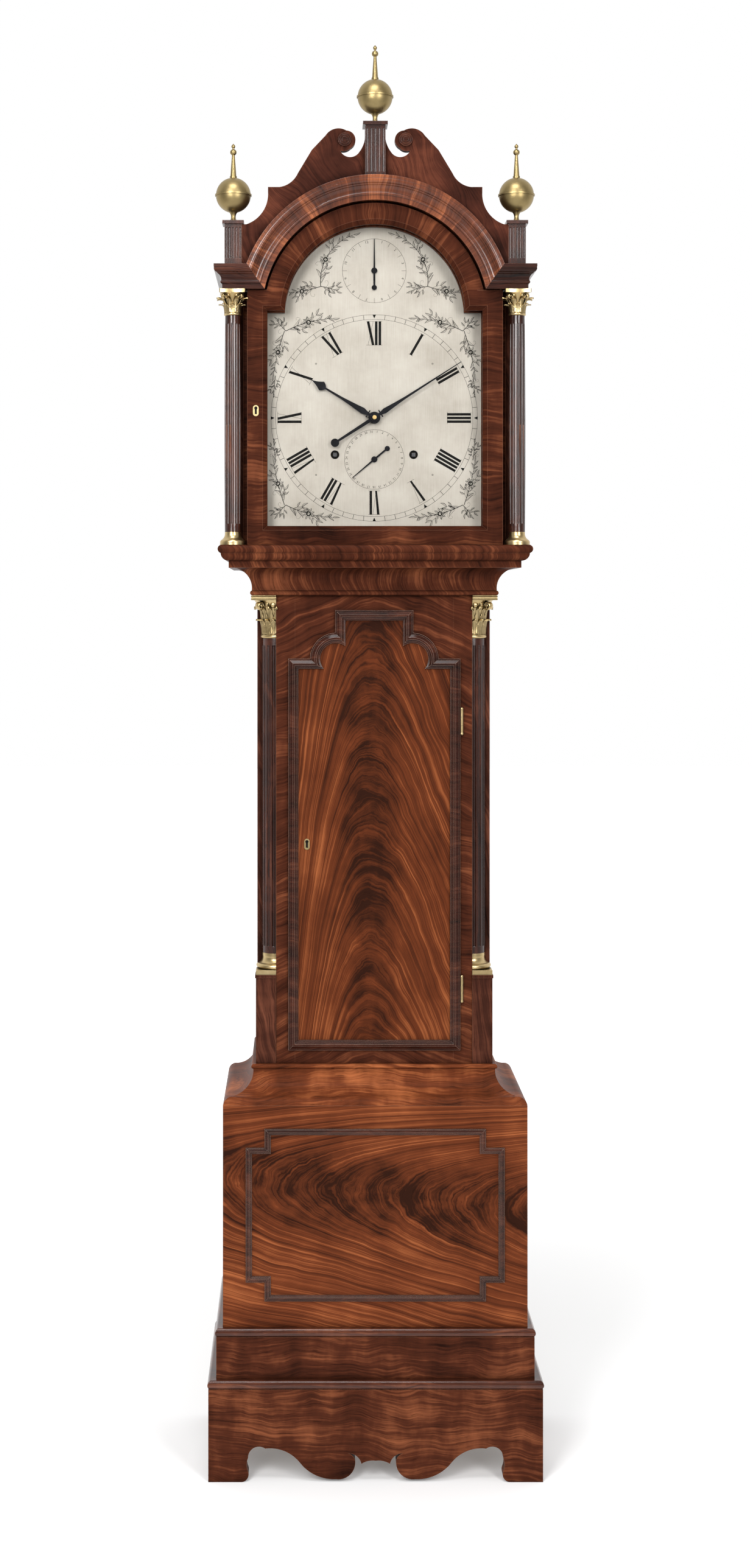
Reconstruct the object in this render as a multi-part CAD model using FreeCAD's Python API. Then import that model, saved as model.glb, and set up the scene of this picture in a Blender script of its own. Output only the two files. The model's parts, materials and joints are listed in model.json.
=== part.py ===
import FreeCAD, Part
import math
import os
from FreeCAD import Vector

# A year-going longcase clock: bracket-footed base, trunk with quarter columns, sliding hood
# with a swan-neck pediment, and a weight-driven movement with a seconds pendulum.
# The front faces -Y, X runs to the viewer's right, and the origin is on the floor at the middle.

# Overrun for cuts and the clearance of turning fits
overrun = 5.0
same_place = 0.000001
running_clearance = 0.05
slip_clearance = 0.5

# How far along and across its span the middle of a quarter round lies
bend_share = 0.29

# Trunk, the reference that every projecting member is measured from
trunk_half = 173.2
trunk_depth = 202.0
side_board = 16.0
front_board = 18.0
back_board = 12.0
trunk_lap = 40.0

# Heights of the storeys, from the floor up
skirt_height = 134.0
skirt_moulding_height = 12.0
band_height = 60.0
band_moulding_height = 12.0
base_height = 322.0
base_ovolo_height = 11.0
foot_cavetto_height = 34.0
foot_bead_height = 7.0
trunk_height = 691.6
throat_bead_height = 7.4
throat_cavetto_height = 33.0
throat_fascia_height = 10.0
hood_ovolo_height = 11.0
hood_nosing_height = 12.0
cornice_height = 35.0

# How far each member stands out from the one it springs from, at the front as at the sides
base_proud = 48.6
band_proud = 9.3
band_moulding_proud = 10.9
skirt_proud = 11.1
skirt_moulding_proud = 12.4
base_ovolo_inset = 13.0
foot_cavetto_lip = 1.8
foot_cavetto_top_proud = 5.3
foot_bead_proud = 8.3
throat_bead_proud = 10.0
throat_cavetto_proud = 7.6
throat_cavetto_reach = 25.2
throat_fascia_proud = 7.7
hood_ovolo_proud = 11.3
hood_nosing_proud = 4.3
hood_slide_gap = 4.8
hood_side_inset = 20.0
frieze_proud = 18.0
cornice_proud = 11.8

# Base carcass
base_box_lift = 52.0
base_floor_thickness = 12.0
panel_margin = 33.4
panel_indent = 27.4
panel_bottom_rise = 37.7
panel_top_gap = 33.5
panel_moulding_width = 8.9
panel_moulding_depth = 4.0
moulding_shares = ((0, 0.45, 0.42), (0.16, 0.62, 1), (0.46, 1, 0.96), (0.66, 0.7, 0.5), (0.84, 0.36, 0.3))

# Skirt cut-out as shares of the skirt's half-width and height: (x, z) ends a straight
# stretch, (middle x, middle z, x, z) ends an arc
apron_shares = (
    (0.799, 0.0), (0.764, 0.045, 0.762, 0.115), (0.770, 0.20, 0.762, 0.262),
    (0.745, 0.345, 0.660, 0.362), (0.545, 0.335, 0.455, 0.215), (0.375, 0.09, 0.237, 0.032),
    (0.150, 0.085, 0.122, 0.198), (0.133, 0.275, 0.165, 0.311), (0.112, 0.278, 0.0855, 0.198),
    (0.045, 0.228, 0.0, 0.231),
)
side_arch_shares = ((0.20, 0.0), (0.235, 0.115), (0.26, 0.345, 0.33, 0.362))

# Trunk corners: quarter columns in notches, with brass bases and capitals on wooden blocks
notch_width = 28.2
post_backing = 12.0
quarter_radius = 21.0
quarter_flutes = 4
quarter_flute_radius = 2.3
block_height = 126.0
block_proud = 1.6
block_cap_height = 4.6
block_cap_proud = 1.2
quarter_base_height = 30.0
quarter_base_plinth = 7.0
quarter_capital_height = 63.6
quarter_abacus_height = 7.0
quarter_abacus_proud = 8.3

# Trunk door: a lipped panel with stepped, rounded shoulders
door_margin = 46.2
door_bottom_rise = 19.8
door_top_gap = 21.9
door_head = 71.7
door_ledge = 32.2
door_arc_radius = 38.3
door_arc_reach = 37.3
door_lip = 10.0
door_moulding_width = 14.8
door_moulding_depth = 7.7
door_gap = 0.3
door_thickness = 16.0

# Trunk door hinges
hinge_knuckle_radius = 2.3
hinge_pin_radius = 1.0
hinge_knuckle_length = 12.0
hinge_knuckle_gap = 0.3
hinge_tip_radius = 2.5
hinge_leaf = 1.2
hinge_leaf_reach = 11.0
hinge_low_rise = 90.5
hinge_high_drop = 92.2

# Keyhole plates
keyhole_plate_half = 4.2
keyhole_plate_height = 16.0
keyhole_plate_depth = 0.8
keyhole_radius = 2.4
keyhole_slot_half = 1.5
trunk_keyhole_inset = 27.6
trunk_keyhole_rise = 303.9
hood_keyhole_inset = 12.5
hood_keyhole_rise = 196.0

# Hood carcass
hood_side_board = 12.0
arch_centre_drop = 35.5
arch_margin = 40.0
roof_shell = 7.0
roof_staves = 12
roof_board = 10.0
mask_board = 8.0
mask_gap = 2.0

# Cornice profile as shares of its projection and height
cornice_shares = (
    (0.0, 0.20), (0.20, 0.27, 0.10, 0.34), (0.22, 0.52, 0.55, 0.62), (0.62, 0.66),
    (0.90, 0.72, 0.95, 0.86), (1.0, 0.88), (1.0, 1.0),
)

# Hood columns
column_proud = 3.0
column_radius = 12.0
column_top_radius = 10.9
column_foot_radius = 11.4
entasis_share = 0.45
column_flutes = 12
column_flute_radius = 1.9
column_base_height = 19.0
column_base_radius = 18.5
column_capital_height = 38.0
abacus_half = 19.0
abacus_height = 5.5
capital_neck = 4.0

# Hood door
hood_door_margin = 18.5
hood_door_setback = 20.0
hood_door_thickness = 22.0
hood_door_arch_gap = 3.0
glass_margin = 29.1
glass_bottom_rise = 28.0
glass_shoulder_drop = 30.0
glass_arch_margin = 30.0
glass_bead_width = 6.5
glass_thickness = 2.5
glass_rebate = 4.0
hood_door_gap = 0.5
pivot_inset = 3.0
pivot_pin_radius = 2.0
pivot_pin_length = 7.0
pivot_strap_width = 5.4
pivot_strap_length = 34.0
pivot_strap_depth = 1.2

# Pediment, plinths and finials
pediment_board = 12.0
pediment_setback = 15.0
pediment_shares = (
    (0.965, 0.298), (0.880, 0.347, 0.803, 0.535), (0.803, 0.571), (0.717, 0.571),
    (0.640, 0.600, 0.580, 0.671), (0.475, 0.842), (0.372, 0.948), (0.300, 0.998, 0.216, 0.985),
    (0.150, 0.935, 0.185, 0.855), (0.222, 0.835, 0.2617, 0.837),
    (0.185, 0.790, 0.119, 0.827), (0.090, 0.877, 0.0755, 0.935),
)
pediment_height = 199.0
roundel_shares = (0.2293, 0.9176)
roundel_radius = 9.8
roundel_depth = 5.0
side_plinth_proud = 2.0
side_plinth_width = 25.0
side_plinth_height = 65.0
centre_plinth_width = 29.6
centre_plinth_height = 78.0
plinth_cap_height = 5.0
plinth_cap_proud = 3.2
plinth_flutes = 5
plinth_flute_radius = 1.6
finial_point = 1.3
finial_ball_radius = 25.5
finial_flange = 1.3
finial_flange_height = 2.4
finial_stem_height = 14.0
finial_foot_radius = 6.2
finial_waist_radius = 3.4
finial_collar_radius = 5.2
finial_collar_height = 3.0
finial_spike_radius = 4.4
finial_spike_top_radius = 2.2
finial_spike_height = 31.0
finial_bead_radius = 4.8
finial_tip_bead_radius = 2.9
finial_neck_radius = 1.4

# Dial and its openings
dial_inset = 40.0
dial_foot_gap = 23.6
dial_head_gap = 19.4
dial_arch_lap = 9.0
dial_thickness = 3.0
dial_setforward = 4.0
dial_centre_hole = 8.5
winding_hole_radius = 6.5
winding_half = 58.0
winding_drop = 54.2
date_drop = 61.2
month_rise = 217.4
dial_foot_radius = 4.0
dial_foot_half = 86.0
dial_foot_rise = 80.0
dial_foot_drop = 84.0

# Hands
hand_thickness = 1.2
hand_gap = 2.4
small_hand_gap = 1.0
collet_rise = 11.0
collet_half = 6.0
collet_bar = 1.7
collet_neck_half = 2.2
minute_tip_gap = 13.0
minute_swell_half = 4.0
minute_swell_rise = 18.0
minute_waist_half = 1.7
minute_waist_rise = 54.0
minute_tip_half = 0.5
minute_tail = 69.0
minute_tail_half = 1.6
minute_tail_root_half = 2.7
minute_tail_disc = 6.2
minute_hub = 8.3
hour_length = 109.5
hour_swell_half = 4.7
hour_swell_rise = 20.0
hour_waist_half = 1.8
hour_waist_rise = 58.0
hour_neck_half = 1.3
hour_neck_rise = 84.0
hour_spade_half = 7.3
hour_spade_rise = 91.0
hour_hub = 8.8
date_length = 42.0
month_length = 46.5
small_tail = 25.0
small_disc = 3.8
small_hub = 4.5
small_width = 2.6
small_arbor = 2.0
small_wheel_radius = 18.0
minute_angle = 57.3
hour_angle = 301.0
date_angle = 230.0
month_angle = 0.0

# Movement frame
plate_half = 115.0
plate_thickness = 4.0
plate_head = 48.0
plate_spacing = 75.0
dial_space = 24.0
pillar_radius = 6.0
pillar_margin = 14.0
seat_thickness = 20.0
seat_rise = 19.0
seat_depth = 98.0
end_shake = 0.2

# Going train: teeth and modules of each mesh
pinion_leaves = 8
great_teeth = 64
second_teeth = 64
second_module = 1.5
third_teeth = 72
centre_teeth = 64
centre_module = 0.65
fourth_teeth = 60
fourth_module = 0.6
escape_teeth = 30
escape_radius = 17.0
third_bearing = 61.0
fourth_bearing = 135.0
cannon_teeth = 24
minute_wheel_teeth = 72
motion_module = 0.75
minute_pinion_leaves = 12
hour_teeth = 48
motion_bearing = 150.0
wheel_thickness = 2.5
great_thickness = 4.0
pinion_overhang = 1.5
arbor_radius = 2.5
fine_arbor_radius = 1.5
fine_pivot_radius = 1.0
centre_arbor_radius = 3.0
barrel_arbor_radius = 6.0
pivot_radius = 1.5
barrel_pivot_radius = 4.0
winding_square = 5.6
drum_radius = 20.0
drum_flange = 3.0
drum_length = 44.0
rim_share = 0.80
hub_share = 0.28
spokes = 4
spoke_share = 0.14
# Tooth forms in modules: dedendum, addendum, half thickness at the root and at the tip
wheel_form_shares = (1.35, 1.0, 1.0, 0.32)
pinion_form_shares = (1.4, 0.8, 0.55, 0.35)

# Layers of the train, measured back from the front plate's inner face
second_layer = 4.5
great_layer = 13.0
drum_layer = 18.5
third_layer = 47.0
centre_layer = 57.0
fourth_layer = 65.0
escape_layer = 70.5
cannon_layer = 5.0
hour_layer = 10.0

# Escapement and pendulum
pallet_clearance = 1.3
pallet_width = 3.2
pallet_span = 45.0
cock_plate = 6.0
cock_stand = 14.0
cock_half = 26.0
cock_height = 26.0
cock_leg = 8.0
stud_radius = 3.0
stud_length = 22.0
stud_cap_radius = 5.0
stud_cap = 4.0
crutch_length = 124.0
crutch_half = 2.5
crutch_thickness = 3.0
crutch_prong = 3.0
crutch_prong_height = 8.0
pendulum_length = 994.0
pendulum_rod_radius = 4.0
pendulum_eye_radius = 8.0
pendulum_eye_depth = 10.0
bob_radius = 72.0
bob_thickness = 38.0
bob_edge = 5.0
rating_nut_radius = 9.0
rating_nut_height = 8.0
rating_nut_gap = 2.0
pendulum_tail = 26.0

# Weights and lines
weight_radius = 42.0
weight_height = 205.0
weight_dome = 10.0
weight_hook = 30.0
pulley_drop = 210.0
pulley_width = 8.0
pulley_rim = 4.0
stirrup_thickness = 2.5
stirrup_half = 6.0
line_radius = 1.2
line_hole_radius = 5.0
line_knot_radius = 4.0
line_knot_height = 6.0

# Half-widths of the storeys
base_half = trunk_half + base_proud
band_half = base_half + band_proud
band_moulding_half = base_half + band_moulding_proud
skirt_half = band_half + skirt_proud
skirt_moulding_half = band_half + skirt_moulding_proud
foot_cavetto_top_half = trunk_half + foot_cavetto_top_proud
foot_bead_half = trunk_half + foot_bead_proud
throat_bead_half = trunk_half + throat_bead_proud
throat_cavetto_half = trunk_half + throat_cavetto_proud
throat_cavetto_top_half = throat_cavetto_half + throat_cavetto_reach
throat_fascia_half = throat_cavetto_top_half + throat_fascia_proud
hood_ovolo_half = throat_fascia_half + hood_ovolo_proud
hood_nosing_half = hood_ovolo_half + hood_nosing_proud
hood_frame_inner_half = trunk_half + hood_slide_gap
hood_side_half = hood_ovolo_half - hood_side_inset
frieze_half = hood_side_half + frieze_proud
cornice_half = frieze_half + cornice_proud
quarter_abacus_half = trunk_half + quarter_abacus_proud
column_half = hood_side_half + column_proud
side_plinth_half = hood_side_half + side_plinth_proud
panel_half = base_half - panel_margin
panel_height = base_height - panel_bottom_rise - panel_top_gap

# Trunk door, hood door and dial
door_half = trunk_half - door_margin
door_neck_half = door_half - door_ledge
door_tab_half = door_neck_half - door_arc_reach
door_height = trunk_height - door_bottom_rise - door_top_gap
door_shoulder_height = door_height - door_head
hood_door_half = hood_side_half - hood_door_margin
arch_inner_radius = hood_side_half - arch_margin
hood_door_arch_radius = arch_inner_radius - hood_door_arch_gap
glass_half = hood_door_half - glass_margin
glass_arch_radius = hood_door_arch_radius - glass_arch_margin
dial_half = hood_side_half - dial_inset
dial_arch_radius = glass_arch_radius + dial_arch_lap
dial_centre_rise = dial_foot_gap + dial_half
hood_wall_height = dial_foot_gap + 2 * dial_half + dial_head_gap
minute_length = dial_half - minute_tip_gap

# Heights along a finial, from its foot: the ball sinks a little into its stem and its collar
finial_ball_sink = finial_ball_radius - math.sqrt(finial_ball_radius ** 2 - finial_foot_radius ** 2)
finial_ball_middle = finial_stem_height - finial_ball_sink + finial_ball_radius
finial_ball_top = finial_ball_middle + finial_ball_radius - finial_ball_sink
finial_spike_foot = finial_ball_top + finial_collar_height
finial_spike_top = finial_spike_foot + finial_spike_height
bead_squash_share = 0.9
finial_bead_top = finial_spike_top + 2 * finial_bead_radius * bead_squash_share
finial_tip_foot = finial_bead_top + finial_neck_radius
finial_tip_top = finial_tip_foot + 2 * finial_tip_bead_radius * bead_squash_share
finial_height = finial_tip_top + finial_point

# Storey levels
skirt_top = skirt_height
band_foot = skirt_top + skirt_moulding_height
band_top = band_foot + band_height
base_foot = band_top + band_moulding_height
base_top = base_foot + base_height
cavetto_foot = base_top + base_ovolo_height
bead_foot = cavetto_foot + foot_cavetto_height
trunk_foot = bead_foot + foot_bead_height
trunk_top = trunk_foot + trunk_height
throat_cavetto_foot = trunk_top + throat_bead_height
fascia_foot = throat_cavetto_foot + throat_cavetto_height
throat_top = fascia_foot + throat_fascia_height
nosing_foot = throat_top + hood_ovolo_height
hood_foot = nosing_foot + hood_nosing_height
cornice_foot = hood_foot + hood_wall_height
cornice_top = cornice_foot + cornice_height
arch_centre = cornice_foot - arch_centre_drop
arch_outer_radius = arch_inner_radius + cornice_height
clock_height = cornice_top + arch_outer_radius + centre_plinth_height + finial_height

# Depth: the widest moulding decides where the trunk stands
widest_half = max(skirt_moulding_half, cornice_half)
depth = trunk_depth + widest_half - trunk_half
back_y = depth / 2
trunk_front = back_y - trunk_depth
inner_half = trunk_half - side_board
column_foot = trunk_foot + block_height + block_cap_height
column_shaft_foot = column_foot + quarter_base_height
column_shaft_top = trunk_top - quarter_capital_height
notch_x = trunk_half - notch_width
notch_y = trunk_front + notch_width
door_foot = trunk_foot + door_bottom_rise


def front_y(half):
    """The front face of a member that stands out as far at the front as at the sides."""
    return trunk_front - (half - trunk_half)


# Dial and movement places
dial_centre = hood_foot + dial_centre_rise
dial_front = trunk_front - dial_setforward
dial_back = dial_front + dial_thickness
front_plate_y = dial_back + dial_space
train_front = front_plate_y + plate_thickness
train_back = train_front + plate_spacing
back_plate_back = train_back + plate_thickness
seat_foot = hood_foot + seat_rise
seat_top = seat_foot + seat_thickness
hood_door_front = front_y(cornice_half) + hood_door_setback
hood_door_back = hood_door_front + hood_door_thickness
mask_back = dial_front - mask_gap
column_y = front_y(column_half)

# Solids and outlines


def box(x0, x1, y0, y1, z0, z1):
    return Part.makeBox(x1 - x0, y1 - y0, z1 - z0, Vector(x0, y0, z0))


def mirrored(shape):
    return shape.mirror(Vector(0, 0, 0), Vector(1, 0, 0))


def pair(shape):
    return [shape, mirrored(shape)]


def fused(shapes):
    whole = shapes[0].fuse(list(shapes[1:]))
    return whole.removeSplitter().Solids[0]


def front_place(y):
    return lambda a, b: Vector(a, y, b)


def side_place(x):
    return lambda a, b: Vector(x, a, b)


def plan_place(z):
    return lambda a, b: Vector(a, b, z)


def outline(start, steps, place):
    """A closed wire of straight stretches (a, b) and arcs (middle a, middle b, a, b)."""
    edges = []
    here = place(*start)
    for step in tuple(steps) + (tuple(start),):
        there = place(*step[-2:])
        if here.isEqual(there, same_place):
            continue
        if len(step) == 2:
            edges.append(Part.makeLine(here, there))
        else:
            edges.append(Part.Arc(here, place(*step[:2]), there).toShape())
        here = there
    return Part.Wire(edges)


def slab(start, steps, place, along):
    return Part.Face(outline(start, steps, place)).extrude(along)


def scaled(shares, width, height):
    """Outline steps from shares of a width and a height."""
    sizes = (width, height, width, height)
    return tuple(tuple(s * v for s, v in zip(step, sizes)) for step in shares)


def rod(x, z, y0, y1, radius):
    """A round bar along the depth of the clock."""
    return Part.makeCylinder(radius, y1 - y0, Vector(x, y0, z), Vector(0, 1, 0))


def turned(steps, x, y, z):
    """A vertical turning from steps of (radius, height) that start and end on the axis."""
    wire = outline((0, 0), steps, lambda r, h: Vector(x + r, y, z + h))
    return Part.Face(wire).revolve(Vector(x, y, z), Vector(0, 0, 1), 360).Solids[0]


def mitre_wedge():
    """All that lies in front of the two mitre planes at the corners of the case."""
    apex = trunk_half + trunk_front
    reach = depth
    wide = apex + reach
    corners = ((-wide, -reach), (wide, -reach))
    return slab((0, apex), corners, plan_place(0), Vector(0, 0, clock_height))


wedge = mitre_wedge()


def surround(start, steps):
    """Three mitred strips round the front and sides from a profile of (half-width, height)."""
    long = 2 * widest_half + 2 * overrun
    face = Part.Face(outline(start, steps, lambda h, z: Vector(-long / 2, front_y(h), z)))
    front = face.extrude(Vector(long, 0, 0)).common(wedge).Solids[0]
    face = Part.Face(outline(start, steps, lambda h, z: Vector(h, back_y, z)))
    side = face.extrude(Vector(0, -depth, 0)).cut(wedge).Solids[0]
    return [front] + pair(side)


def walls(half, board, z0, z1):
    """A front board and two side boards behind it."""
    y = front_y(half)
    front = box(-half, half, y, y + board, z0, z1)
    return [front] + pair(box(half - board, half, y + board, back_y, z0, z1))


def write(name, solids):
    shape = solids[0] if len(solids) == 1 else Part.makeCompound(solids)
    shape.exportStep(f"parts/{name}.step")


# Base


def skirt_boards():
    board = skirt_half - base_half
    y = front_y(skirt_half)
    right = slab(
        (0, skirt_height),
        ((skirt_half, skirt_height), (skirt_half, 0)) + scaled(apron_shares, skirt_half, skirt_height),
        front_place(y),
        Vector(0, board, 0),
    )
    front = fused(pair(right))
    y0 = y + board
    length = back_y - y0
    steps = [(y0 + a[0] * length, a[1] * skirt_height) for a in side_arch_shares[:2]]
    steps.append(tuple(
        y0 + s * length if k % 2 == 0 else s * skirt_height
        for k, s in enumerate(side_arch_shares[2])
    ))
    arch = side_arch_shares[2]
    flip = [(y0 + (1 - arch[2]) * length, arch[3] * skirt_height)]
    flip.append((y0 + (1 - arch[0]) * length, arch[1] * skirt_height,
                 y0 + (1 - side_arch_shares[1][0]) * length, side_arch_shares[1][1] * skirt_height))
    flip.append((y0 + (1 - side_arch_shares[0][0]) * length, 0))
    side = slab(
        (y0, skirt_height),
        [(y0, 0)] + steps + flip + [(back_y, 0), (back_y, skirt_height)],
        side_place(base_half),
        Vector(board, 0, 0),
    )
    return [front] + pair(side)


def thumb(inner, outer, foot, top):
    """A moulding with a rounded front edge on a straight wall."""
    middle = (foot + top) / 2
    return surround(
        (inner, foot),
        ((outer - (top - foot) / 4, foot), (outer, middle, outer - (top - foot) / 3, top), (inner, top)),
    )


def base_mouldings():
    lower = thumb(band_half, skirt_moulding_half, skirt_top, band_foot)
    return lower + thumb(base_half, band_moulding_half, band_top, base_foot)


def base_front():
    y = front_y(base_half)
    return box(-base_half, base_half, y, y + front_board, base_box_lift, base_top)


def base_carcass():
    y = front_y(base_half) + front_board
    sides = pair(box(base_half - side_board, base_half, y, back_y, base_box_lift, base_top))
    slip = box(inner_half, base_half - side_board, back_y - back_board, back_y, base_box_lift, base_top)
    slips = pair(slip.cut(trunk_sides()[0]).Solids[0])
    half = base_half - side_board
    floor = box(-half, half, y, back_y - back_board, base_box_lift,
                base_box_lift + base_floor_thickness)
    return sides + slips + [floor]


def panel_outline(inset, y):
    """The indented panel on the base, drawn in by inset."""
    low = base_foot + panel_bottom_rise + inset
    high = low + panel_height - 2 * inset
    wide = panel_half - inset
    narrow = wide - panel_indent
    return outline(
        (narrow, low),
        ((narrow, low + panel_indent), (wide, low + panel_indent), (wide, high - panel_indent),
         (narrow, high - panel_indent), (narrow, high), (-narrow, high),
         (-narrow, high - panel_indent), (-wide, high - panel_indent),
         (-wide, low + panel_indent), (-narrow, low + panel_indent), (-narrow, low)),
        front_place(y),
    )


def framed(shape_at, y, width, deep):
    """A mitred moulding round an outline, in flat and sloping steps from its outer to its inner edge."""
    rings = []
    ends = [share for share, _, _ in moulding_shares[1:]] + [1]
    for (begin, near, far), end in zip(moulding_shares, ends):
        foot = shape_at(width * begin, y)
        rim = shape_at(width * begin, y - deep * near)
        lip = shape_at(width * end, y - deep * far)
        outer = Part.makeLoft([foot, rim, lip], True, True)
        hollow = Part.Face(shape_at(width * end, y - deep - overrun))
        inner = hollow.extrude(Vector(0, deep + 2 * overrun, 0))
        rings.append(outer.cut(inner).Solids[0])
    return fused(rings)


def base_panel_moulding():
    return framed(panel_outline, front_y(base_half), panel_moulding_width, panel_moulding_depth)


def trunk_foot_moulding():
    ovolo_half = base_half - base_ovolo_inset
    cavetto_half = ovolo_half - foot_cavetto_lip
    foot = surround(
        (trunk_half, base_top),
        ((base_half, base_top),
         (base_half - bend_share * base_ovolo_inset, cavetto_foot - bend_share * base_ovolo_height,
          ovolo_half, cavetto_foot),
         (cavetto_half, cavetto_foot),
         (foot_cavetto_top_half + bend_share * (cavetto_half - foot_cavetto_top_half),
          cavetto_foot + bend_share * foot_cavetto_height, foot_cavetto_top_half, bead_foot),
         (trunk_half, bead_foot)),
    )
    round_start = foot_bead_half - foot_bead_height / 2
    bead = surround(
        (trunk_half, bead_foot),
        ((round_start, bead_foot), (foot_bead_half, (bead_foot + trunk_foot) / 2, round_start, trunk_foot),
         (trunk_half, trunk_foot)),
    )
    return foot + bead


# Trunk


def notch():
    return box(notch_x, trunk_half + overrun, trunk_front - overrun, notch_y, trunk_foot, trunk_top)


def backboard():
    """One board from base to hood, widened and arched where it closes the back of the hood."""
    radius = arch_outer_radius - roof_shell - mask_gap
    wide = hood_side_half - hood_side_board - mask_gap
    step = seat_foot + mask_gap
    high = cornice_top - roof_board - mask_gap
    spring = arch_centre + math.sqrt(radius ** 2 - inner_half ** 2)
    return slab(
        (inner_half, base_box_lift),
        ((inner_half, step), (wide, step), (wide, high), (inner_half, high), (inner_half, spring),
         (0, arch_centre + radius, -inner_half, spring), (-inner_half, high), (-wide, high),
         (-wide, step), (-inner_half, step), (-inner_half, base_box_lift)),
        front_place(back_y - back_board),
        Vector(0, back_board, 0),
    )


def trunk_sides():
    side = box(inner_half, trunk_half, trunk_front, back_y, base_top - trunk_lap, seat_foot)
    return pair(side.cut(notch()))


def door_outline(inset, y):
    """The stepped door shape, drawn in by inset."""
    low = door_foot + inset
    wide = door_half - inset
    shoulder = door_foot + door_shoulder_height
    radius = door_arc_radius - inset
    centre_x = door_neck_half - door_arc_radius
    tab = door_tab_half - inset
    top = door_foot + door_height - inset
    neck = centre_x + math.sqrt(radius ** 2 - inset ** 2)
    tab_foot = shoulder + math.sqrt(radius ** 2 - (tab - centre_x) ** 2)
    start = math.atan2(-inset, neck - centre_x)
    end = math.atan2(tab_foot - shoulder, tab - centre_x)
    middle = (start + end) / 2
    bend_x = centre_x + radius * math.cos(middle)
    bend_z = shoulder + radius * math.sin(middle)
    ledge = shoulder - inset
    return outline(
        (wide, low),
        ((wide, ledge), (neck, ledge), (bend_x, bend_z, tab, tab_foot), (tab, top), (-tab, top),
         (-tab, tab_foot), (-bend_x, bend_z, -neck, ledge), (-wide, ledge), (-wide, low)),
        front_place(y),
    )


hinge_x = door_half + hinge_knuckle_radius
hinge_y = trunk_front - door_gap - hinge_knuckle_radius
hinge_heights = (door_foot + hinge_low_rise, door_foot + door_shoulder_height - hinge_high_drop)


def fixed_leaf(z):
    """The middle knuckle of a hinge, with its leaf let into the stile."""
    low = z - hinge_knuckle_length / 2
    knuckle = Part.makeCylinder(hinge_knuckle_radius, hinge_knuckle_length, Vector(hinge_x, hinge_y, low))
    half = hinge_leaf / 2
    leaf = box(hinge_x - half, hinge_x + half, hinge_y, trunk_front + hinge_leaf_reach,
               low, low + hinge_knuckle_length)
    bore = Part.makeCylinder(hinge_pin_radius + running_clearance, hinge_knuckle_length + 2 * overrun,
                             Vector(hinge_x, hinge_y, low - overrun))
    return fused([knuckle, leaf]).cut(bore).Solids[0]


def trunk_hinge_leaves():
    return [fixed_leaf(z) for z in hinge_heights]


def trunk_front_frame():
    opening = door_half - door_lip
    post = box(opening, inner_half, trunk_front, notch_y + post_backing, base_top - trunk_lap, throat_top)
    post = post.cut(notch())
    right = post
    for leaf in trunk_hinge_leaves():
        right = right.cut(leaf)
    hole = Part.Face(door_outline(door_lip, trunk_front - overrun)).extrude(
        Vector(0, front_board + 2 * overrun, 0))
    low = box(-opening, opening, trunk_front, trunk_front + front_board,
              base_top - trunk_lap, door_foot + door_lip)
    high = box(-opening, opening, trunk_front, trunk_front + front_board,
               door_foot + door_shoulder_height - door_lip, throat_top).cut(hole)
    return [right.Solids[0], mirrored(post.Solids[0]), low, high.Solids[0]]


def quarter(steps, z):
    """A quarter turning in the notch of the right corner, from (radius, height) steps."""
    wire = outline((0, 0), steps, lambda r, h: Vector(notch_x + r, notch_y, z + h))
    return Part.Face(wire).revolve(Vector(notch_x, notch_y, z), Vector(0, 0, 1), -90).Solids[0]


def quarter_columns():
    height = column_shaft_top - column_shaft_foot
    shaft = quarter(((quarter_radius, 0), (quarter_radius, height), (0, height)), column_shaft_foot)
    for k in range(quarter_flutes):
        angle = math.pi / 2 * (k + 1 / 2) / quarter_flutes
        x = notch_x + quarter_radius * math.cos(angle)
        y = notch_y - quarter_radius * math.sin(angle)
        foot = column_shaft_foot + quarter_radius / 2
        long = height - quarter_radius
        shaft = shaft.cut(Part.makeCylinder(quarter_flute_radius, long, Vector(x, y, foot)))
    return pair(shaft.Solids[0])


def quarter_blocks():
    half = trunk_half + block_proud
    top = trunk_foot + block_height
    block = box(notch_x, half, front_y(half), notch_y, trunk_foot, top)
    wide = half + block_cap_proud
    cap = box(notch_x, wide, front_y(wide), notch_y, top, top + block_cap_height)
    return pair(fused([block, cap]).cut(trunk_sides()[0]).Solids[0])


def quarter_mounts():
    """Brass bases and capitals of the quarter columns."""
    rise = quarter_base_height - quarter_base_plinth
    half = trunk_half + block_proud
    plinth = box(notch_x, half, front_y(half), notch_y, column_foot, column_foot + quarter_base_plinth)
    big = half - notch_x
    swell_share = 0.90
    scotia_share = 1.02
    scotia_rise_share = 0.55
    fillet_rise_share = 0.80
    bell = quarter(
        ((big * swell_share, 0), (big, rise / 6, big * swell_share, rise / 3),
         (quarter_radius * scotia_share, rise * scotia_rise_share, quarter_radius, rise * fillet_rise_share),
         (quarter_radius, rise), (0, rise)),
        column_foot + quarter_base_plinth,
    )
    base = fused([plinth, bell]).cut(trunk_sides()[0]).Solids[0]
    high = quarter_capital_height - quarter_abacus_height
    out = quarter_abacus_half - notch_x
    neck_share = 0.10
    astragal_share = 1.12
    bell = quarter(
        ((quarter_radius, 0),
         (quarter_radius * astragal_share, high * neck_share / 2, quarter_radius, high * neck_share),
         (quarter_radius * scotia_share, high * scotia_rise_share, out * swell_share, high), (0, high)),
        column_shaft_top,
    )
    abacus = box(notch_x, quarter_abacus_half, front_y(quarter_abacus_half), notch_y,
                 trunk_top - quarter_abacus_height, trunk_top)
    capital = fused([bell, abacus]).cut(trunk_sides()[0]).Solids[0]
    return pair(base) + pair(capital)


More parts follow.
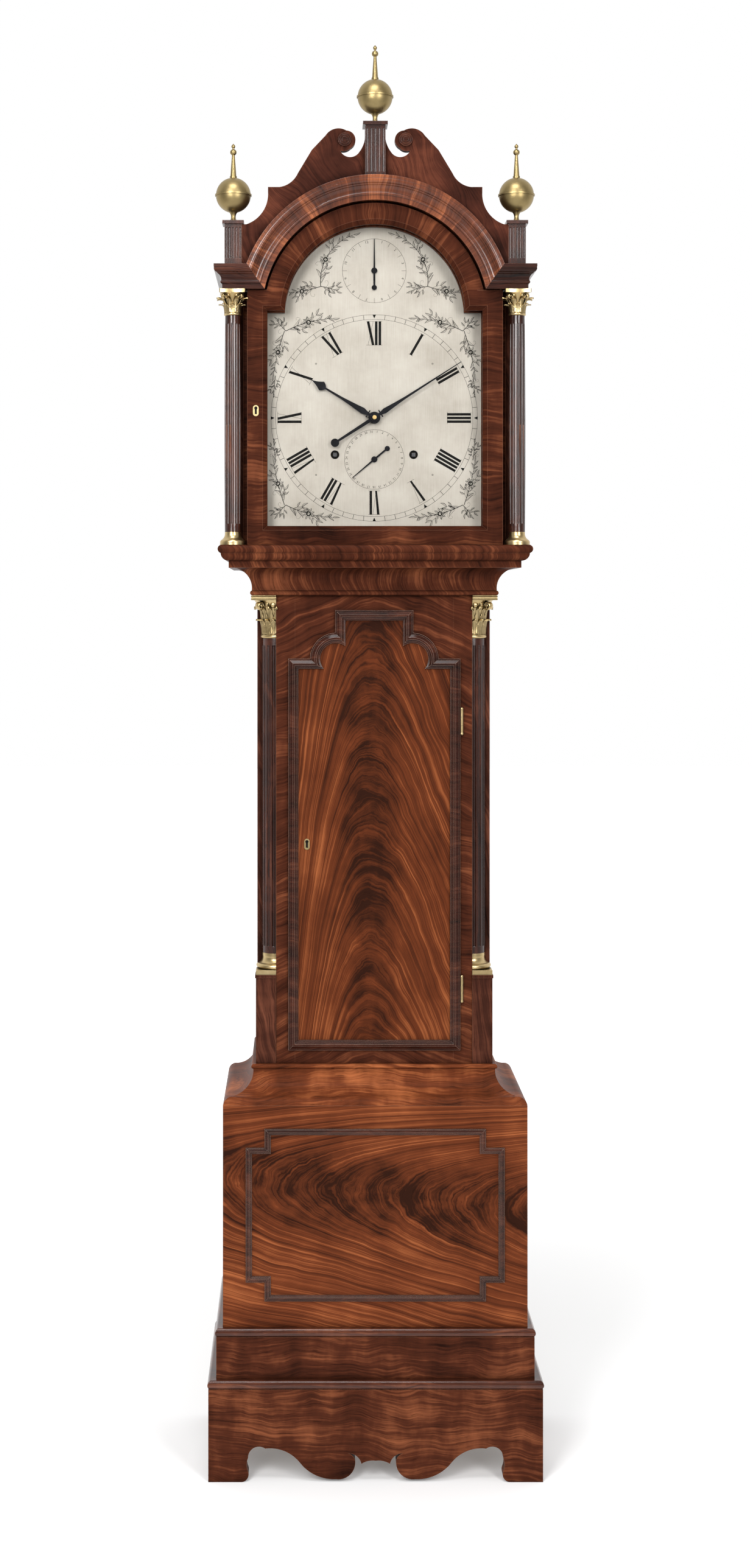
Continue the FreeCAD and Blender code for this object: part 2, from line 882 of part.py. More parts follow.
def throat_moulding():
    bead_start = throat_bead_half - throat_bead_height / 2
    return surround(
        (trunk_half, trunk_top),
        ((bead_start, trunk_top),
         (throat_bead_half, (trunk_top + throat_cavetto_foot) / 2, bead_start, throat_cavetto_foot),
         (throat_cavetto_half, throat_cavetto_foot),
         (throat_cavetto_half + bend_share * (throat_cavetto_top_half - throat_cavetto_half),
          fascia_foot - bend_share * throat_cavetto_height, throat_cavetto_top_half, fascia_foot),
         (throat_fascia_half, fascia_foot), (throat_fascia_half, throat_top), (trunk_half, throat_top)),
    )


def door_knuckles(z):
    """The two outer knuckles of a hinge with their pin, ball tips and leaves."""
    half = hinge_knuckle_length / 2
    pieces = []
    reach = half + hinge_knuckle_gap + hinge_knuckle_length
    pieces.append(Part.makeCylinder(hinge_pin_radius, 2 * reach, Vector(hinge_x, hinge_y, z - reach)))
    for side in (-1, 1):
        near = z + side * (half + hinge_knuckle_gap)
        low = min(near, near + side * hinge_knuckle_length)
        pieces.append(Part.makeCylinder(hinge_knuckle_radius, hinge_knuckle_length,
                                        Vector(hinge_x, hinge_y, low)))
        pieces.append(box(hinge_x - hinge_leaf_reach, hinge_x, hinge_y - hinge_leaf / 2,
                          hinge_y + hinge_leaf / 2, low, low + hinge_knuckle_length))
        tip = near + side * hinge_knuckle_length
        pieces.append(Part.makeSphere(hinge_tip_radius, Vector(hinge_x, hinge_y, tip)))
    return fused(pieces)


def trunk_door_panel():
    y = trunk_front - door_gap
    face = Part.Face(door_outline(door_lip + slip_clearance, y))
    return face.extrude(Vector(0, door_thickness, 0))


def trunk_door_moulding():
    ring = framed(door_outline, trunk_front - door_gap, door_moulding_width, door_moulding_depth)
    for z in hinge_heights:
        ring = ring.cut(door_knuckles(z))
    return ring.Solids[0]


def keyhole_plate(x, y, z):
    """A brass keyhole plate with a rounded top and foot, standing on the face at y."""
    half = keyhole_plate_half
    rise = keyhole_plate_height / 2
    straight = rise - half
    plate = slab(
        (x - half, z - straight),
        ((x - half, z + straight), (x, z + rise, x + half, z + straight), (x + half, z - straight),
         (x, z - rise, x - half, z - straight)),
        front_place(y - keyhole_plate_depth),
        Vector(0, keyhole_plate_depth, 0),
    )
    hole = rod(x, z + straight, y - overrun, y + overrun, keyhole_radius)
    slot = box(x - keyhole_slot_half, x + keyhole_slot_half, y - overrun, y + overrun,
               z - straight - half / 3, z + straight)
    return plate.cut(hole).cut(slot).Solids[0]


# Hood


def hood_base_frame():
    ovolo_rise = hood_ovolo_height
    grow = hood_ovolo_half - throat_fascia_half
    strips = surround(
        (hood_frame_inner_half, throat_top),
        ((throat_fascia_half, throat_top),
         (throat_fascia_half + (1 - bend_share) * grow, throat_top + bend_share * ovolo_rise,
          hood_ovolo_half, nosing_foot),
         (hood_nosing_half, (nosing_foot + hood_foot) / 2, hood_ovolo_half, hood_foot),
         (hood_frame_inner_half, hood_foot)),
    )
    strips[0] = strips[0].cut(pivot_socket(hood_foot - pivot_pin_length - slip_clearance)).Solids[0]
    return strips


pivot_x = hood_door_half - pivot_inset
pivot_y = hood_door_front + pivot_inset


def pivot_socket(low):
    return Part.makeCylinder(pivot_pin_radius + running_clearance, pivot_pin_length + slip_clearance,
                             Vector(pivot_x, pivot_y, low))


def hood_sides():
    y = mask_back - mask_board
    inner = hood_side_half - hood_side_board
    side = box(inner, hood_side_half, y, back_y, hood_foot, cornice_top - roof_board)
    return pair(side)


def cornice_profile():
    """(half-width, height above the cornice's foot) from the wall out, up and back."""
    grow = cornice_half - frieze_half
    steps = [(hood_side_half, 0), (frieze_half, 0)]
    for step in cornice_shares:
        sizes = (frieze_half, 0) * 2
        spans = (grow, cornice_height) * 2
        steps.append(tuple(size + share * span for size, share, span in zip(sizes, step, spans)))
    return steps + [(hood_side_half, cornice_height)]


def raised(step, rise):
    """A profile step with its heights lifted by rise."""
    return tuple(v + rise if k % 2 else v for k, v in enumerate(step))


def arch_gap():
    """The space between the two mitres where the arch rises out of the cornice."""
    foot = math.sqrt(arch_inner_radius ** 2 - arch_centre_drop ** 2)
    top = math.sqrt(arch_outer_radius ** 2 - (arch_centre_drop + cornice_height) ** 2)
    lean = (top - foot) / cornice_height
    high = cornice_height + arch_outer_radius
    low = overrun
    corners = (
        (foot - lean * low, cornice_foot - low), (foot + lean * high, cornice_foot + high),
        (-foot - lean * high, cornice_foot + high), (-foot + lean * low, cornice_foot - low),
    )
    return slab(corners[0], corners[1:], front_place(front_y(cornice_half) - overrun), Vector(0, depth, 0))


def hood_cornice():
    steps = [raised(step, cornice_foot) for step in cornice_profile()]
    front, right, left = surround(steps[0], steps[1:])
    ends = front.cut(arch_gap()).Solids
    ends = [end.cut(pivot_socket(cornice_foot)).Solids[0] for end in ends]
    return ends + [right, left]


def hood_arch_moulding():
    steps = cornice_profile()
    face = Part.Face(outline(
        steps[0], steps[1:], lambda h, z: Vector(0, front_y(h), arch_centre - arch_inner_radius - z)))
    ring = face.revolve(Vector(0, 0, arch_centre), Vector(0, 1, 0), 360)
    return ring.common(arch_gap()).Solids[0]


def hood_roof():
    """The staves of the barrel roof, and the flat boards on either side of it."""
    y0 = front_y(hood_side_half)
    inner = arch_outer_radius - roof_shell
    vault = rod(0, arch_centre, y0, back_y, arch_outer_radius).cut(
        rod(0, arch_centre, y0 - overrun, back_y + overrun, inner))
    above = box(-cornice_half, cornice_half, y0, back_y, cornice_top, cornice_top + arch_outer_radius)
    vault = vault.common(above)
    spring = math.asin((cornice_top - arch_centre) / arch_outer_radius)
    sweep = (math.pi - 2 * spring) / roof_staves
    far = 2 * arch_outer_radius
    staves = []
    for k in range(roof_staves):
        ends = [polar((0, arch_centre), far, math.degrees(spring + sweep * (k + side))) for side in (0, 1)]
        sector = slab((0, arch_centre), ends, front_place(y0 - overrun), Vector(0, depth + 2 * overrun, 0))
        staves.append(vault.common(sector).Solids[0])
    foot = math.sqrt(inner ** 2 - (cornice_top - arch_centre) ** 2)
    flat = box(foot, hood_side_half, y0, back_y, cornice_top - roof_board, cornice_top)
    return staves + pair(flat)


def arched_opening(half, foot, shoulder, radius, y):
    """A break-arch outline: a rectangle with a smaller arch above its shoulders."""
    spring = math.sqrt(radius ** 2 - (shoulder - arch_centre) ** 2)
    return outline(
        (half, foot),
        ((half, shoulder), (spring, shoulder), (0, arch_centre + radius, -spring, shoulder),
         (-half, shoulder), (-half, foot)),
        front_place(y),
    )


def glass_outline(grow, y):
    return arched_opening(glass_half + grow, hood_foot + glass_bottom_rise - grow,
                          cornice_foot - glass_shoulder_drop + grow, glass_arch_radius + grow, y)


def dial_mask():
    y = mask_back - mask_board
    half = hood_side_half - hood_side_board
    radius = arch_outer_radius - roof_shell - roof_board / 2
    board = Part.Face(arched_opening(half, hood_foot, cornice_foot, radius, y))
    board = board.extrude(Vector(0, mask_board, 0))
    hole = Part.Face(glass_outline(0, y - overrun)).extrude(Vector(0, mask_board + 2 * overrun, 0))
    return board.cut(hole).Solids[0]


def hood_columns():
    foot = hood_foot + column_base_height
    top = cornice_foot - column_capital_height
    height = top - foot
    shaft = turned(
        ((column_foot_radius, 0), (column_radius, height * entasis_share, column_top_radius, height),
         (0, height)),
        column_half, column_y, foot,
    )
    for k in range(column_flutes):
        angle = 2 * math.pi * k / column_flutes
        x = column_half + column_radius * math.cos(angle)
        y = column_y + column_radius * math.sin(angle)
        long = height - 2 * column_radius
        shaft = shaft.cut(Part.makeCylinder(column_flute_radius, long, Vector(x, y, foot + column_radius)))
    return pair(shaft.Solids[0])


def hood_column_mounts():
    """Brass bases and capitals of the hood columns."""
    h = column_base_height
    r = column_base_radius
    waist = column_foot_radius
    base_torus_shares = ((1.0, 0.14), (0.98, 0.30, 0.86, 0.42))
    base_scotia_shares = ((1.10, 0.62, 1.0, 0.90),)
    base = turned(
        [(r, 0)] + list(scaled(base_torus_shares, r, h)) + list(scaled(base_scotia_shares, waist, h))
        + [(waist, h), (0, h)],
        column_half, column_y, hood_foot,
    )
    h = column_capital_height - abacus_height
    low = cornice_foot - column_capital_height
    r = column_top_radius
    astragal_share = 1.16
    bell_share = 1.05
    bell_rise_share = 0.60
    lip_share = 0.92
    bell = turned(
        ((r, 0), (r * astragal_share, capital_neck / 2, r, capital_neck),
         (r * bell_share, h * bell_rise_share, abacus_half * lip_share, h), (0, h)),
        column_half, column_y, low,
    )
    a = abacus_half
    x, y = column_half, column_y
    hollow_share = 0.84
    side = a * hollow_share
    cut_share = 0.93
    c = a * cut_share
    abacus = slab(
        (x + a, y + c),
        ((x + c, y + a), (x, y + side, x - c, y + a), (x - a, y + c), (x - side, y, x - a, y - c),
         (x - c, y - a), (x, y - side, x + c, y - a), (x + a, y - c), (x + side, y, x + a, y + c)),
        plan_place(low + h),
        Vector(0, 0, abacus_height),
    )
    return pair(base) + pair(fused([bell, abacus]))


pediment_half = side_plinth_half - side_plinth_width / 2


def pediment_y():
    return front_y(cornice_half) + pediment_setback


def hood_pediment():
    y = pediment_y()
    half = centre_plinth_width / 2
    steps = list(scaled(pediment_shares, pediment_half, pediment_height))
    steps = [tuple(v + cornice_top if k % 2 else v for k, v in enumerate(step)) for step in steps]
    end = steps[-1]
    steps[-1] = (end[0], end[1], half, end[3])
    start = (pediment_half, cornice_top)
    side = pediment_half
    board = slab(start, [(side, steps[0][1])] + steps + [(half, cornice_top)], front_place(y),
                 Vector(0, pediment_board, 0))
    drum = rod(0, arch_centre, y - overrun, y + pediment_board + overrun, arch_outer_radius)
    board = max(board.cut(drum).Solids, key=lambda s: s.Volume)
    return pair(board)


def pediment_roundels():
    y = pediment_y()
    x = pediment_half * roundel_shares[0]
    z = cornice_top + pediment_height * roundel_shares[1]
    step_shares = ((1.0, 0.5), (0.72, 0.75), (0.40, 1.0))
    disc = None
    for radius_share, depth_share in step_shares:
        ring = rod(x, z, y - roundel_depth * depth_share, y, roundel_radius * radius_share)
        disc = ring if disc is None else disc.fuse(ring)
    return pair(disc.removeSplitter().Solids[0])


def fluted_plinth(x, y, width, foot, height):
    """A square plinth with a flat cap and a fluted front."""
    half = width / 2
    top = foot + height
    body = box(x - half, x + half, y - half, y + half, foot, top - plinth_cap_height)
    low = foot + 2 * plinth_cap_height
    long = height - 4 * plinth_cap_height
    for k in range(plinth_flutes):
        across = width * ((k + 1 / 2) / plinth_flutes - 1 / 2)
        body = body.cut(Part.makeCylinder(plinth_flute_radius, long, Vector(x + across, y - half, low)))
    wide = half + plinth_cap_proud
    cap = box(x - wide, x + wide, y - wide, y + wide, top - plinth_cap_height, top)
    return fused([body, cap])


def side_plinth(x):
    return fluted_plinth(x, front_y(side_plinth_half), side_plinth_width, cornice_top, side_plinth_height)


def centre_plinth_y():
    return pediment_y() + pediment_board / 2


def centre_plinth_foot():
    return arch_centre + arch_outer_radius


def finial_plinths():
    low = centre_plinth_foot() - plinth_cap_height
    centre = fluted_plinth(0, centre_plinth_y(), centre_plinth_width, low,
                           centre_plinth_height + plinth_cap_height)
    centre = centre.cut(rod(0, arch_centre, -depth, depth, arch_outer_radius)).Solids[0]
    return [centre] + pair(side_plinth(side_plinth_half))


def finial(x, y, foot):
    """A ball finial: turned stem, flanged ball, collar, tapered spike and two beads."""
    r = finial_ball_radius
    seat = finial_foot_radius
    stem = finial_stem_height
    middle = finial_ball_middle
    flange = r + finial_flange
    half = finial_flange_height / 2
    edge = math.sqrt(r ** 2 - half ** 2)
    bend = (math.pi / 2 + math.asin(seat / r)) / 2
    waist_share = 0.55
    neck = finial_neck_radius
    steps = (
        (seat, 0), (finial_waist_radius, stem * waist_share, seat, stem),
        (r * math.sin(bend), middle - r * math.cos(bend), edge, middle - half),
        (flange, middle - half), (flange, middle + half), (edge, middle + half),
        (r * math.sin(bend), middle + r * math.cos(bend), seat, finial_ball_top),
        (finial_collar_radius, finial_ball_top), (finial_collar_radius, finial_spike_foot),
        (finial_spike_radius, finial_spike_foot), (finial_spike_top_radius, finial_spike_top),
        (finial_bead_radius, (finial_spike_top + finial_bead_top) / 2, neck, finial_bead_top),
        (neck, finial_tip_foot),
        (finial_tip_bead_radius, (finial_tip_foot + finial_tip_top) / 2, neck, finial_tip_top),
        (neck / 3, finial_height), (0, finial_height),
    )
    return turned(steps, x, y, foot)


def finials():
    side = finial(side_plinth_half, front_y(side_plinth_half), cornice_top + side_plinth_height)
    centre = finial(0, centre_plinth_y(), centre_plinth_foot() + centre_plinth_height)
    return [centre] + pair(side)


# Hood door


def hood_door_outline(y):
    shoulder = cornice_foot - hood_door_gap
    return arched_opening(hood_door_half, hood_foot + hood_door_gap, shoulder, hood_door_arch_radius, y)


def hood_door_frame():
    front = hood_door_front
    board = Part.Face(hood_door_outline(front)).extrude(Vector(0, hood_door_thickness, 0))
    opening = Part.Face(glass_outline(0, front - overrun)).extrude(
        Vector(0, hood_door_thickness + 2 * overrun, 0))
    rebate_y = glass_y() - running_clearance
    rebate = Part.Face(glass_outline(glass_rebate, rebate_y)).extrude(Vector(0, hood_door_thickness, 0))
    bead = Part.makeLoft([glass_outline(glass_bead_width, front), glass_outline(0, front + glass_bead_width)],
                         True, True)
    frame = board.cut(opening).cut(rebate).cut(bead)
    for piece in hood_door_pivots():
        frame = frame.cut(piece)
    return frame.Solids[0]


def glass_y():
    return hood_door_front + hood_door_thickness / 2


def hood_door_glass():
    face = Part.Face(glass_outline(glass_rebate - slip_clearance, glass_y()))
    return face.extrude(Vector(0, glass_thickness, 0))


def hood_door_pivots():
    """Brass straps let into the door's right corners, with their pins."""
    pieces = []
    half = pivot_strap_width / 2
    ends = ((hood_foot + hood_door_gap, -1), (cornice_foot - hood_door_gap, 1))
    for z, way in ends:
        inner = z - way * pivot_strap_depth
        strap = box(pivot_x - pivot_strap_length, pivot_x + half, pivot_y - half, pivot_y + half,
                    min(z, inner), max(z, inner))
        reach = z + way * pivot_pin_length
        pin = Part.makeCylinder(pivot_pin_radius, abs(reach - inner),
                                Vector(pivot_x, pivot_y, min(reach, inner)))
        pieces.append(fused([strap, pin]))
    return pieces


# Dial and hands


def dial_plate():
    half = dial_half
    foot = dial_centre - half
    shoulder = dial_centre + half
    spring = math.sqrt(dial_arch_radius ** 2 - (shoulder - arch_centre) ** 2)
    plate = slab(
        (half, foot),
        ((half, shoulder), (spring, shoulder), (0, arch_centre + dial_arch_radius, -spring, shoulder),
         (-half, shoulder), (-half, foot)),
        front_place(dial_front),
        Vector(0, dial_thickness, 0),
    )
    hole_y = (dial_front - overrun, dial_back + overrun)
    holes = [rod(0, dial_centre, *hole_y, dial_centre_hole)]
    for x in (-winding_half, winding_half):
        holes.append(rod(x, dial_centre - winding_drop, *hole_y, winding_hole_radius))
    for z in (dial_centre - date_drop, dial_centre + month_rise):
        holes.append(rod(0, z, *hole_y, small_arbor + running_clearance))
    for hole in holes:
        plate = plate.cut(hole)
    return plate.Solids[0]


def turned_to(shape, angle, z):
    """A hand drawn at twelve o'clock, turned clockwise as seen from the front."""
    copy = shape.copy()
    copy.rotate(Vector(0, 0, z), Vector(0, 1, 0), angle)
    return copy


def symmetric(steps, place, along):
    """A slab mirrored about its middle, from the right-hand steps of its outline."""
    ends = [step[-2:] for step in steps]
    back = [(-ends[-1][0], ends[-1][1])]
    for step, (a, b) in zip(reversed(steps[1:]), reversed(ends[:-1])):
        middle = (-step[0], step[1]) if len(step) == 4 else ()
        back.append(middle + (-a, b))
    return slab(steps[0], list(steps[1:]) + back, place, along)


def swelled(z, swell_half, swell_rise, waist_half, waist_rise):
    """The lower half of a blade: a neck from the hub, a swelling, and a long hollow taper."""
    middle_half_share = 0.42
    middle = waist_half + (swell_half - waist_half) * middle_half_share
    return [
        (collet_neck_half, z), (collet_neck_half, z + collet_rise), (swell_half, z + swell_rise),
        (middle, z + (swell_rise + waist_rise) / 2, waist_half, z + waist_rise),
    ]


def collet(z, y):
    """The short notched bar across the root of a hand."""
    low = z + collet_rise - collet_bar / 2
    return box(-collet_half, collet_half, y, y + hand_thickness, low, low + collet_bar)


def bar_hand(z, y, length, width, hub, tail, disc):
    """A tapered hand at twelve o'clock with a round hub and a disc on its tail."""
    half = width / 2
    along = Vector(0, hand_thickness, 0)
    blade = slab((half, z), ((half / 3, z + length), (-half / 3, z + length), (-half, z), (-half, z - tail),
                             (half, z - tail)), front_place(y), along)
    pieces = [blade, rod(0, z, y, y + hand_thickness, hub)]
    pieces.append(rod(0, z - tail, y, y + hand_thickness, disc))
    return fused(pieces)


small_hand_y = dial_front - small_hand_gap - hand_thickness
hour_hand_y = small_hand_y - hand_thickness - hand_gap
minute_hand_y = hour_hand_y - hand_thickness - hand_gap
cannon_radius = centre_arbor_radius + arbor_radius
hour_pipe_radius = cannon_radius + arbor_radius


def minute_hand():
    """The minute hand, its cannon pipe and the cannon wheel."""
    z = dial_centre
    y = minute_hand_y
    along = Vector(0, hand_thickness, 0)
    steps = swelled(z, minute_swell_half, minute_swell_rise, minute_waist_half, minute_waist_rise)
    steps.append((minute_tip_half, z + minute_length))
    tail = z - minute_tail
    pieces = [
        symmetric(steps, front_place(y), along),
        symmetric([(minute_tail_half, tail), (minute_tail_root_half, z)], front_place(y), along),
        rod(0, tail, y, y + hand_thickness, minute_tail_disc),
        rod(0, z, y, y + hand_thickness, minute_hub),
        collet(z, y),
    ]
    hand = turned_to(fused(pieces), minute_angle, z)
    wheel_y = front_plate_y - cannon_layer
    pipe = rod(0, z, minute_hand_y - hand_gap, wheel_y + wheel_thickness, cannon_radius)
    wheel = toothed((0, z), cannon_teeth, motion_module, wheel_form_shares, 0, wheel_y, wheel_thickness)
    bore = rod(0, z, minute_hand_y - hand_gap - overrun, wheel_y + overrun, centre_arbor_radius)
    return fused([hand, pipe, wheel]).cut(bore).Solids[0]


def hour_hand():
    """The spade hour hand, its pipe and the hour wheel."""
    z = dial_centre
    y = hour_hand_y
    steps = swelled(z, hour_swell_half, hour_swell_rise, hour_waist_half, hour_waist_rise)
    neck = z + hour_neck_rise
    belly = z + hour_spade_rise
    tip = z + hour_length
    shoulder_share = 0.75
    flank_share = 0.33
    steps += [
        (hour_neck_half, neck),
        (hour_spade_half * shoulder_share, (neck + belly) / 2, hour_spade_half, belly),
        (hour_spade_half * flank_share, (belly + tip) / 2, 0, tip),
    ]
    blade = symmetric(steps, front_place(y), Vector(0, hand_thickness, 0))
    hand = fused([blade, rod(0, z, y, y + hand_thickness, hour_hub), collet(z, y)])
    hand = turned_to(hand, hour_angle, z)
    wheel_y = front_plate_y - hour_layer
    pipe = rod(0, z, y, wheel_y + wheel_thickness, hour_pipe_radius)
    phase = mesh_phase(motion_axis, minute_pinion_leaves, 0, (0, z), hour_teeth)
    wheel = toothed((0, z), hour_teeth, hour_module, wheel_form_shares, phase, wheel_y, wheel_thickness)
    bore = rod(0, z, y - overrun, wheel_y + 2 * overrun, cannon_radius + running_clearance)
    return fused([hand, pipe, wheel]).cut(bore).Solids[0]


def small_hand(z, length, angle):
    """A subsidiary hand on its arbor, with the calendar disc behind the dial."""
    y = small_hand_y
    hand = bar_hand(z, y, length, small_width, small_hub, small_tail, small_disc)
    hand = turned_to(hand, angle, z)
    arbor = rod(0, z, y, dial_back + hand_gap, small_arbor)
    disc = rod(0, z, dial_back + slip_clearance, dial_back + hand_gap, small_wheel_radius)
    return fused([hand, arbor, disc])


# Movement


def toothed(axis, teeth, module, form, phase, y, thickness):
    """A plain toothed disc whose first tooth points at the angle phase."""
    radius = teeth * module / 2
    dedendum, addendum, root_half, tip_half = (share * module for share in form)
    root = radius - dedendum
    tip = radius + addendum
    points = []
    for k in range(teeth):
        angle = phase + 2 * math.pi * k / teeth
        for r, half in ((root, -root_half), (tip, -tip_half), (tip, tip_half), (root, root_half)):
            at = angle + math.asin(half / r)
            points.append(Vector(axis[0] + r * math.cos(at), y, axis[1] + r * math.sin(at)))
    points.append(points[0])
    return Part.Face(Part.makePolygon(points)).extrude(Vector(0, thickness, 0))


def mesh_phase(axis_a, teeth_a, phase_a, axis_b, teeth_b):
    """The phase of wheel b that puts a gap of it on a tooth of wheel a."""
    bearing = math.atan2(axis_b[1] - axis_a[1], axis_b[0] - axis_a[0])
    turn = 2 * math.pi
    tooth = (bearing - phase_a) * teeth_a / turn
    return bearing + math.pi - turn / teeth_b * (1 / 2 - tooth)


def crossed(axis, radius, y, thickness):
    """The windows between the spokes of a wheel."""
    outer = radius * rim_share
    inner = radius * hub_share
    half = radius * spoke_share / 2
    windows = []
    for k in range(spokes):
        start = 2 * math.pi * k / spokes
        end = start + 2 * math.pi / spokes
        corners = []
        for r, turn, way in ((inner, start, 1), (outer, start, 1), (outer, end, -1), (inner, end, -1)):
            at = turn + way * math.asin(half / r)
            corners.append((axis[0] + r * math.cos(at), axis[1] + r * math.sin(at)))
        middle = (start + end) / 2
        bends = [(axis[0] + r * math.cos(middle), axis[1] + r * math.sin(middle)) for r in (outer, inner)]
        steps = (corners[1], bends[0] + corners[2], corners[3], bends[1] + corners[0])
        along = Vector(0, thickness + 2 * overrun, 0)
        windows.append(slab(corners[0], steps, front_place(y - overrun), along))
    return windows


def wheel(axis, teeth, module, phase, y, thickness):
    disc = toothed(axis, teeth, module, wheel_form_shares, phase, y, thickness)
    for window in crossed(axis, teeth * module / 2, y, thickness):
        disc = disc.cut(window)
    return disc.Solids[0]


def polar(axis, distance, bearing):
    angle = math.radians(bearing)
    return (axis[0] + distance * math.cos(angle), axis[1] + distance * math.sin(angle))


def between(teeth_a, teeth_b, module):
    return (teeth_a + teeth_b) * module / 2


# Axes of the train in the (x, z) plane
centre_axis = (0, dial_centre)
barrel_axes = ((-winding_half, dial_centre - winding_drop), (winding_half, dial_centre - winding_drop))
second_axis = (0, dial_centre - winding_drop)
great_module = 2 * winding_half / (great_teeth + pinion_leaves)
third_axis = polar(second_axis, between(second_teeth, pinion_leaves, second_module), third_bearing)
third_module = 2 * math.dist(third_axis, centre_axis) / (third_teeth + pinion_leaves)
fourth_axis = polar(centre_axis, between(centre_teeth, pinion_leaves, centre_module), fourth_bearing)
escape_reach = between(fourth_teeth, pinion_leaves, fourth_module)
escape_axis = (0, fourth_axis[1] + math.sqrt(escape_reach ** 2 - fourth_axis[0] ** 2))
pallet_axis = (0, escape_axis[1] + escape_radius * math.sqrt(2))
plate_top = pallet_axis[1] + plate_head
motion_reach = between(cannon_teeth, minute_wheel_teeth, motion_module)
motion_axis = polar(centre_axis, motion_reach, motion_bearing)
hour_module = 2 * motion_reach / (minute_pinion_leaves + hour_teeth)


def arbor(axis, radius, pivot):
    """An arbor with a pivot at each end, between the plates."""
    x, z = axis
    body = rod(x, z, train_front + end_shake, train_back - end_shake, radius)
    pivots = rod(x, z, front_plate_y + end_shake, back_plate_back - end_shake, pivot)
    return [body, pivots]


def pinion(axis, module, phase, layer, thickness):
    y = train_front + layer - pinion_overhang
    return toothed(axis, pinion_leaves, module, pinion_form_shares, phase, y, thickness + 2 * pinion_overhang)


def great_wheel(side):
    """A great wheel turning on its barrel's arbor; side is 0 on the left and 1 on the right."""
    axis = barrel_axes[side]
    phase = 0
    if side:
        phase = mesh_phase(second_axis, pinion_leaves, second_pinion_phase, axis, great_teeth)
    y = train_front + great_layer
    disc = wheel(axis, great_teeth, great_module, phase, y, great_thickness)
    bore = rod(*axis, y - overrun, y + 2 * overrun, barrel_arbor_radius + running_clearance)
    return disc.cut(bore).Solids[0]


second_pinion_phase = mesh_phase(barrel_axes[0], great_teeth, 0, second_axis, pinion_leaves)


def barrel(side):
    """A winding barrel: flanged drum, arbor and the square that takes the key."""
    x, z = barrel_axes[side]
    y = train_front + drum_layer
    half = winding_square / 2
    pieces = [
        rod(x, z, train_front + end_shake, train_back - end_shake, barrel_arbor_radius),
        rod(x, z, front_plate_y - end_shake, back_plate_back - end_shake, barrel_pivot_radius),
        rod(x, z, y, y + drum_length, drum_radius),
        rod(x, z, y, y + wheel_thickness, drum_radius + drum_flange),
        rod(x, z, y + drum_length - wheel_thickness, y + drum_length, drum_radius + drum_flange),
        box(x - half, x + half, dial_front, front_plate_y, z - half, z + half),
    ]
    return fused(pieces)


def second_wheel():
    y = train_front + second_layer
    pieces = arbor(second_axis, arbor_radius, pivot_radius)
    pieces.append(pinion(second_axis, great_module, second_pinion_phase, great_layer, great_thickness))
    pieces.append(wheel(second_axis, second_teeth, second_module, 0, y, wheel_thickness))
    return fused(pieces)


def third_wheel():
    phase = mesh_phase(second_axis, second_teeth, 0, third_axis, pinion_leaves)
    pieces = arbor(third_axis, arbor_radius, pivot_radius)
    pieces.append(pinion(third_axis, second_module, phase, second_layer, wheel_thickness))
    y = train_front + third_layer
    pieces.append(wheel(third_axis, third_teeth, third_module, 0, y, wheel_thickness))
    return fused(pieces)


def centre_wheel():
    """The centre arbor, which carries the cannon and the minute hand through the front plate."""
    x, z = centre_axis
    phase = mesh_phase(third_axis, third_teeth, 0, centre_axis, pinion_leaves)
    pieces = arbor(centre_axis, fine_arbor_radius, fine_pivot_radius)
    stout_end = train_front + third_layer / 2
    pieces.append(rod(x, z, minute_hand_y - 2 * hand_gap, stout_end, centre_arbor_radius))
    collar = train_front + end_shake
    pieces.append(rod(x, z, collar, collar + pinion_overhang, centre_arbor_radius + fine_arbor_radius))
    pieces.append(pinion(centre_axis, third_module, phase, third_layer, wheel_thickness))
    y = train_front + centre_layer
    pieces.append(wheel(centre_axis, centre_teeth, centre_module, 0, y, wheel_thickness))
    return fused(pieces)


def fourth_wheel():
    phase = mesh_phase(centre_axis, centre_teeth, 0, fourth_axis, pinion_leaves)
    pieces = arbor(fourth_axis, fine_arbor_radius, fine_pivot_radius)
    pieces.append(pinion(fourth_axis, centre_module, phase, centre_layer, wheel_thickness))
    y = train_front + fourth_layer
    pieces.append(wheel(fourth_axis, fourth_teeth, fourth_module, 0, y, wheel_thickness))
    return fused(pieces)


def escape_wheel():
    """Thirty raked teeth on a crossed rim."""
    phase = mesh_phase(fourth_axis, fourth_teeth, 0, escape_axis, pinion_leaves)
    x, z = escape_axis
    y = train_front + escape_layer
    root_share = 0.80
    tip_share = 0.12
    rake_share = 0.45
    back_share = 0.75
    pitch = 2 * math.pi / escape_teeth
    corners = ((root_share, 0), (1, rake_share), (1, rake_share + tip_share), (root_share, back_share))
    points = []
    for k in range(escape_teeth):
        for share, turn in corners:
            r = escape_radius * share
            at = pitch * (k + turn)
            points.append(Vector(x + r * math.cos(at), y, z + r * math.sin(at)))
    points.append(points[0])
    disc = Part.Face(Part.makePolygon(points)).extrude(Vector(0, wheel_thickness, 0))
    for window in crossed(escape_axis, escape_radius * root_share, y, wheel_thickness):
        disc = disc.cut(window)
    pieces = arbor(escape_axis, fine_arbor_radius, fine_pivot_radius)
    pieces.append(pinion(escape_axis, fourth_module, phase, fourth_layer, wheel_thickness))
    return fused(pieces + [disc.Solids[0]])


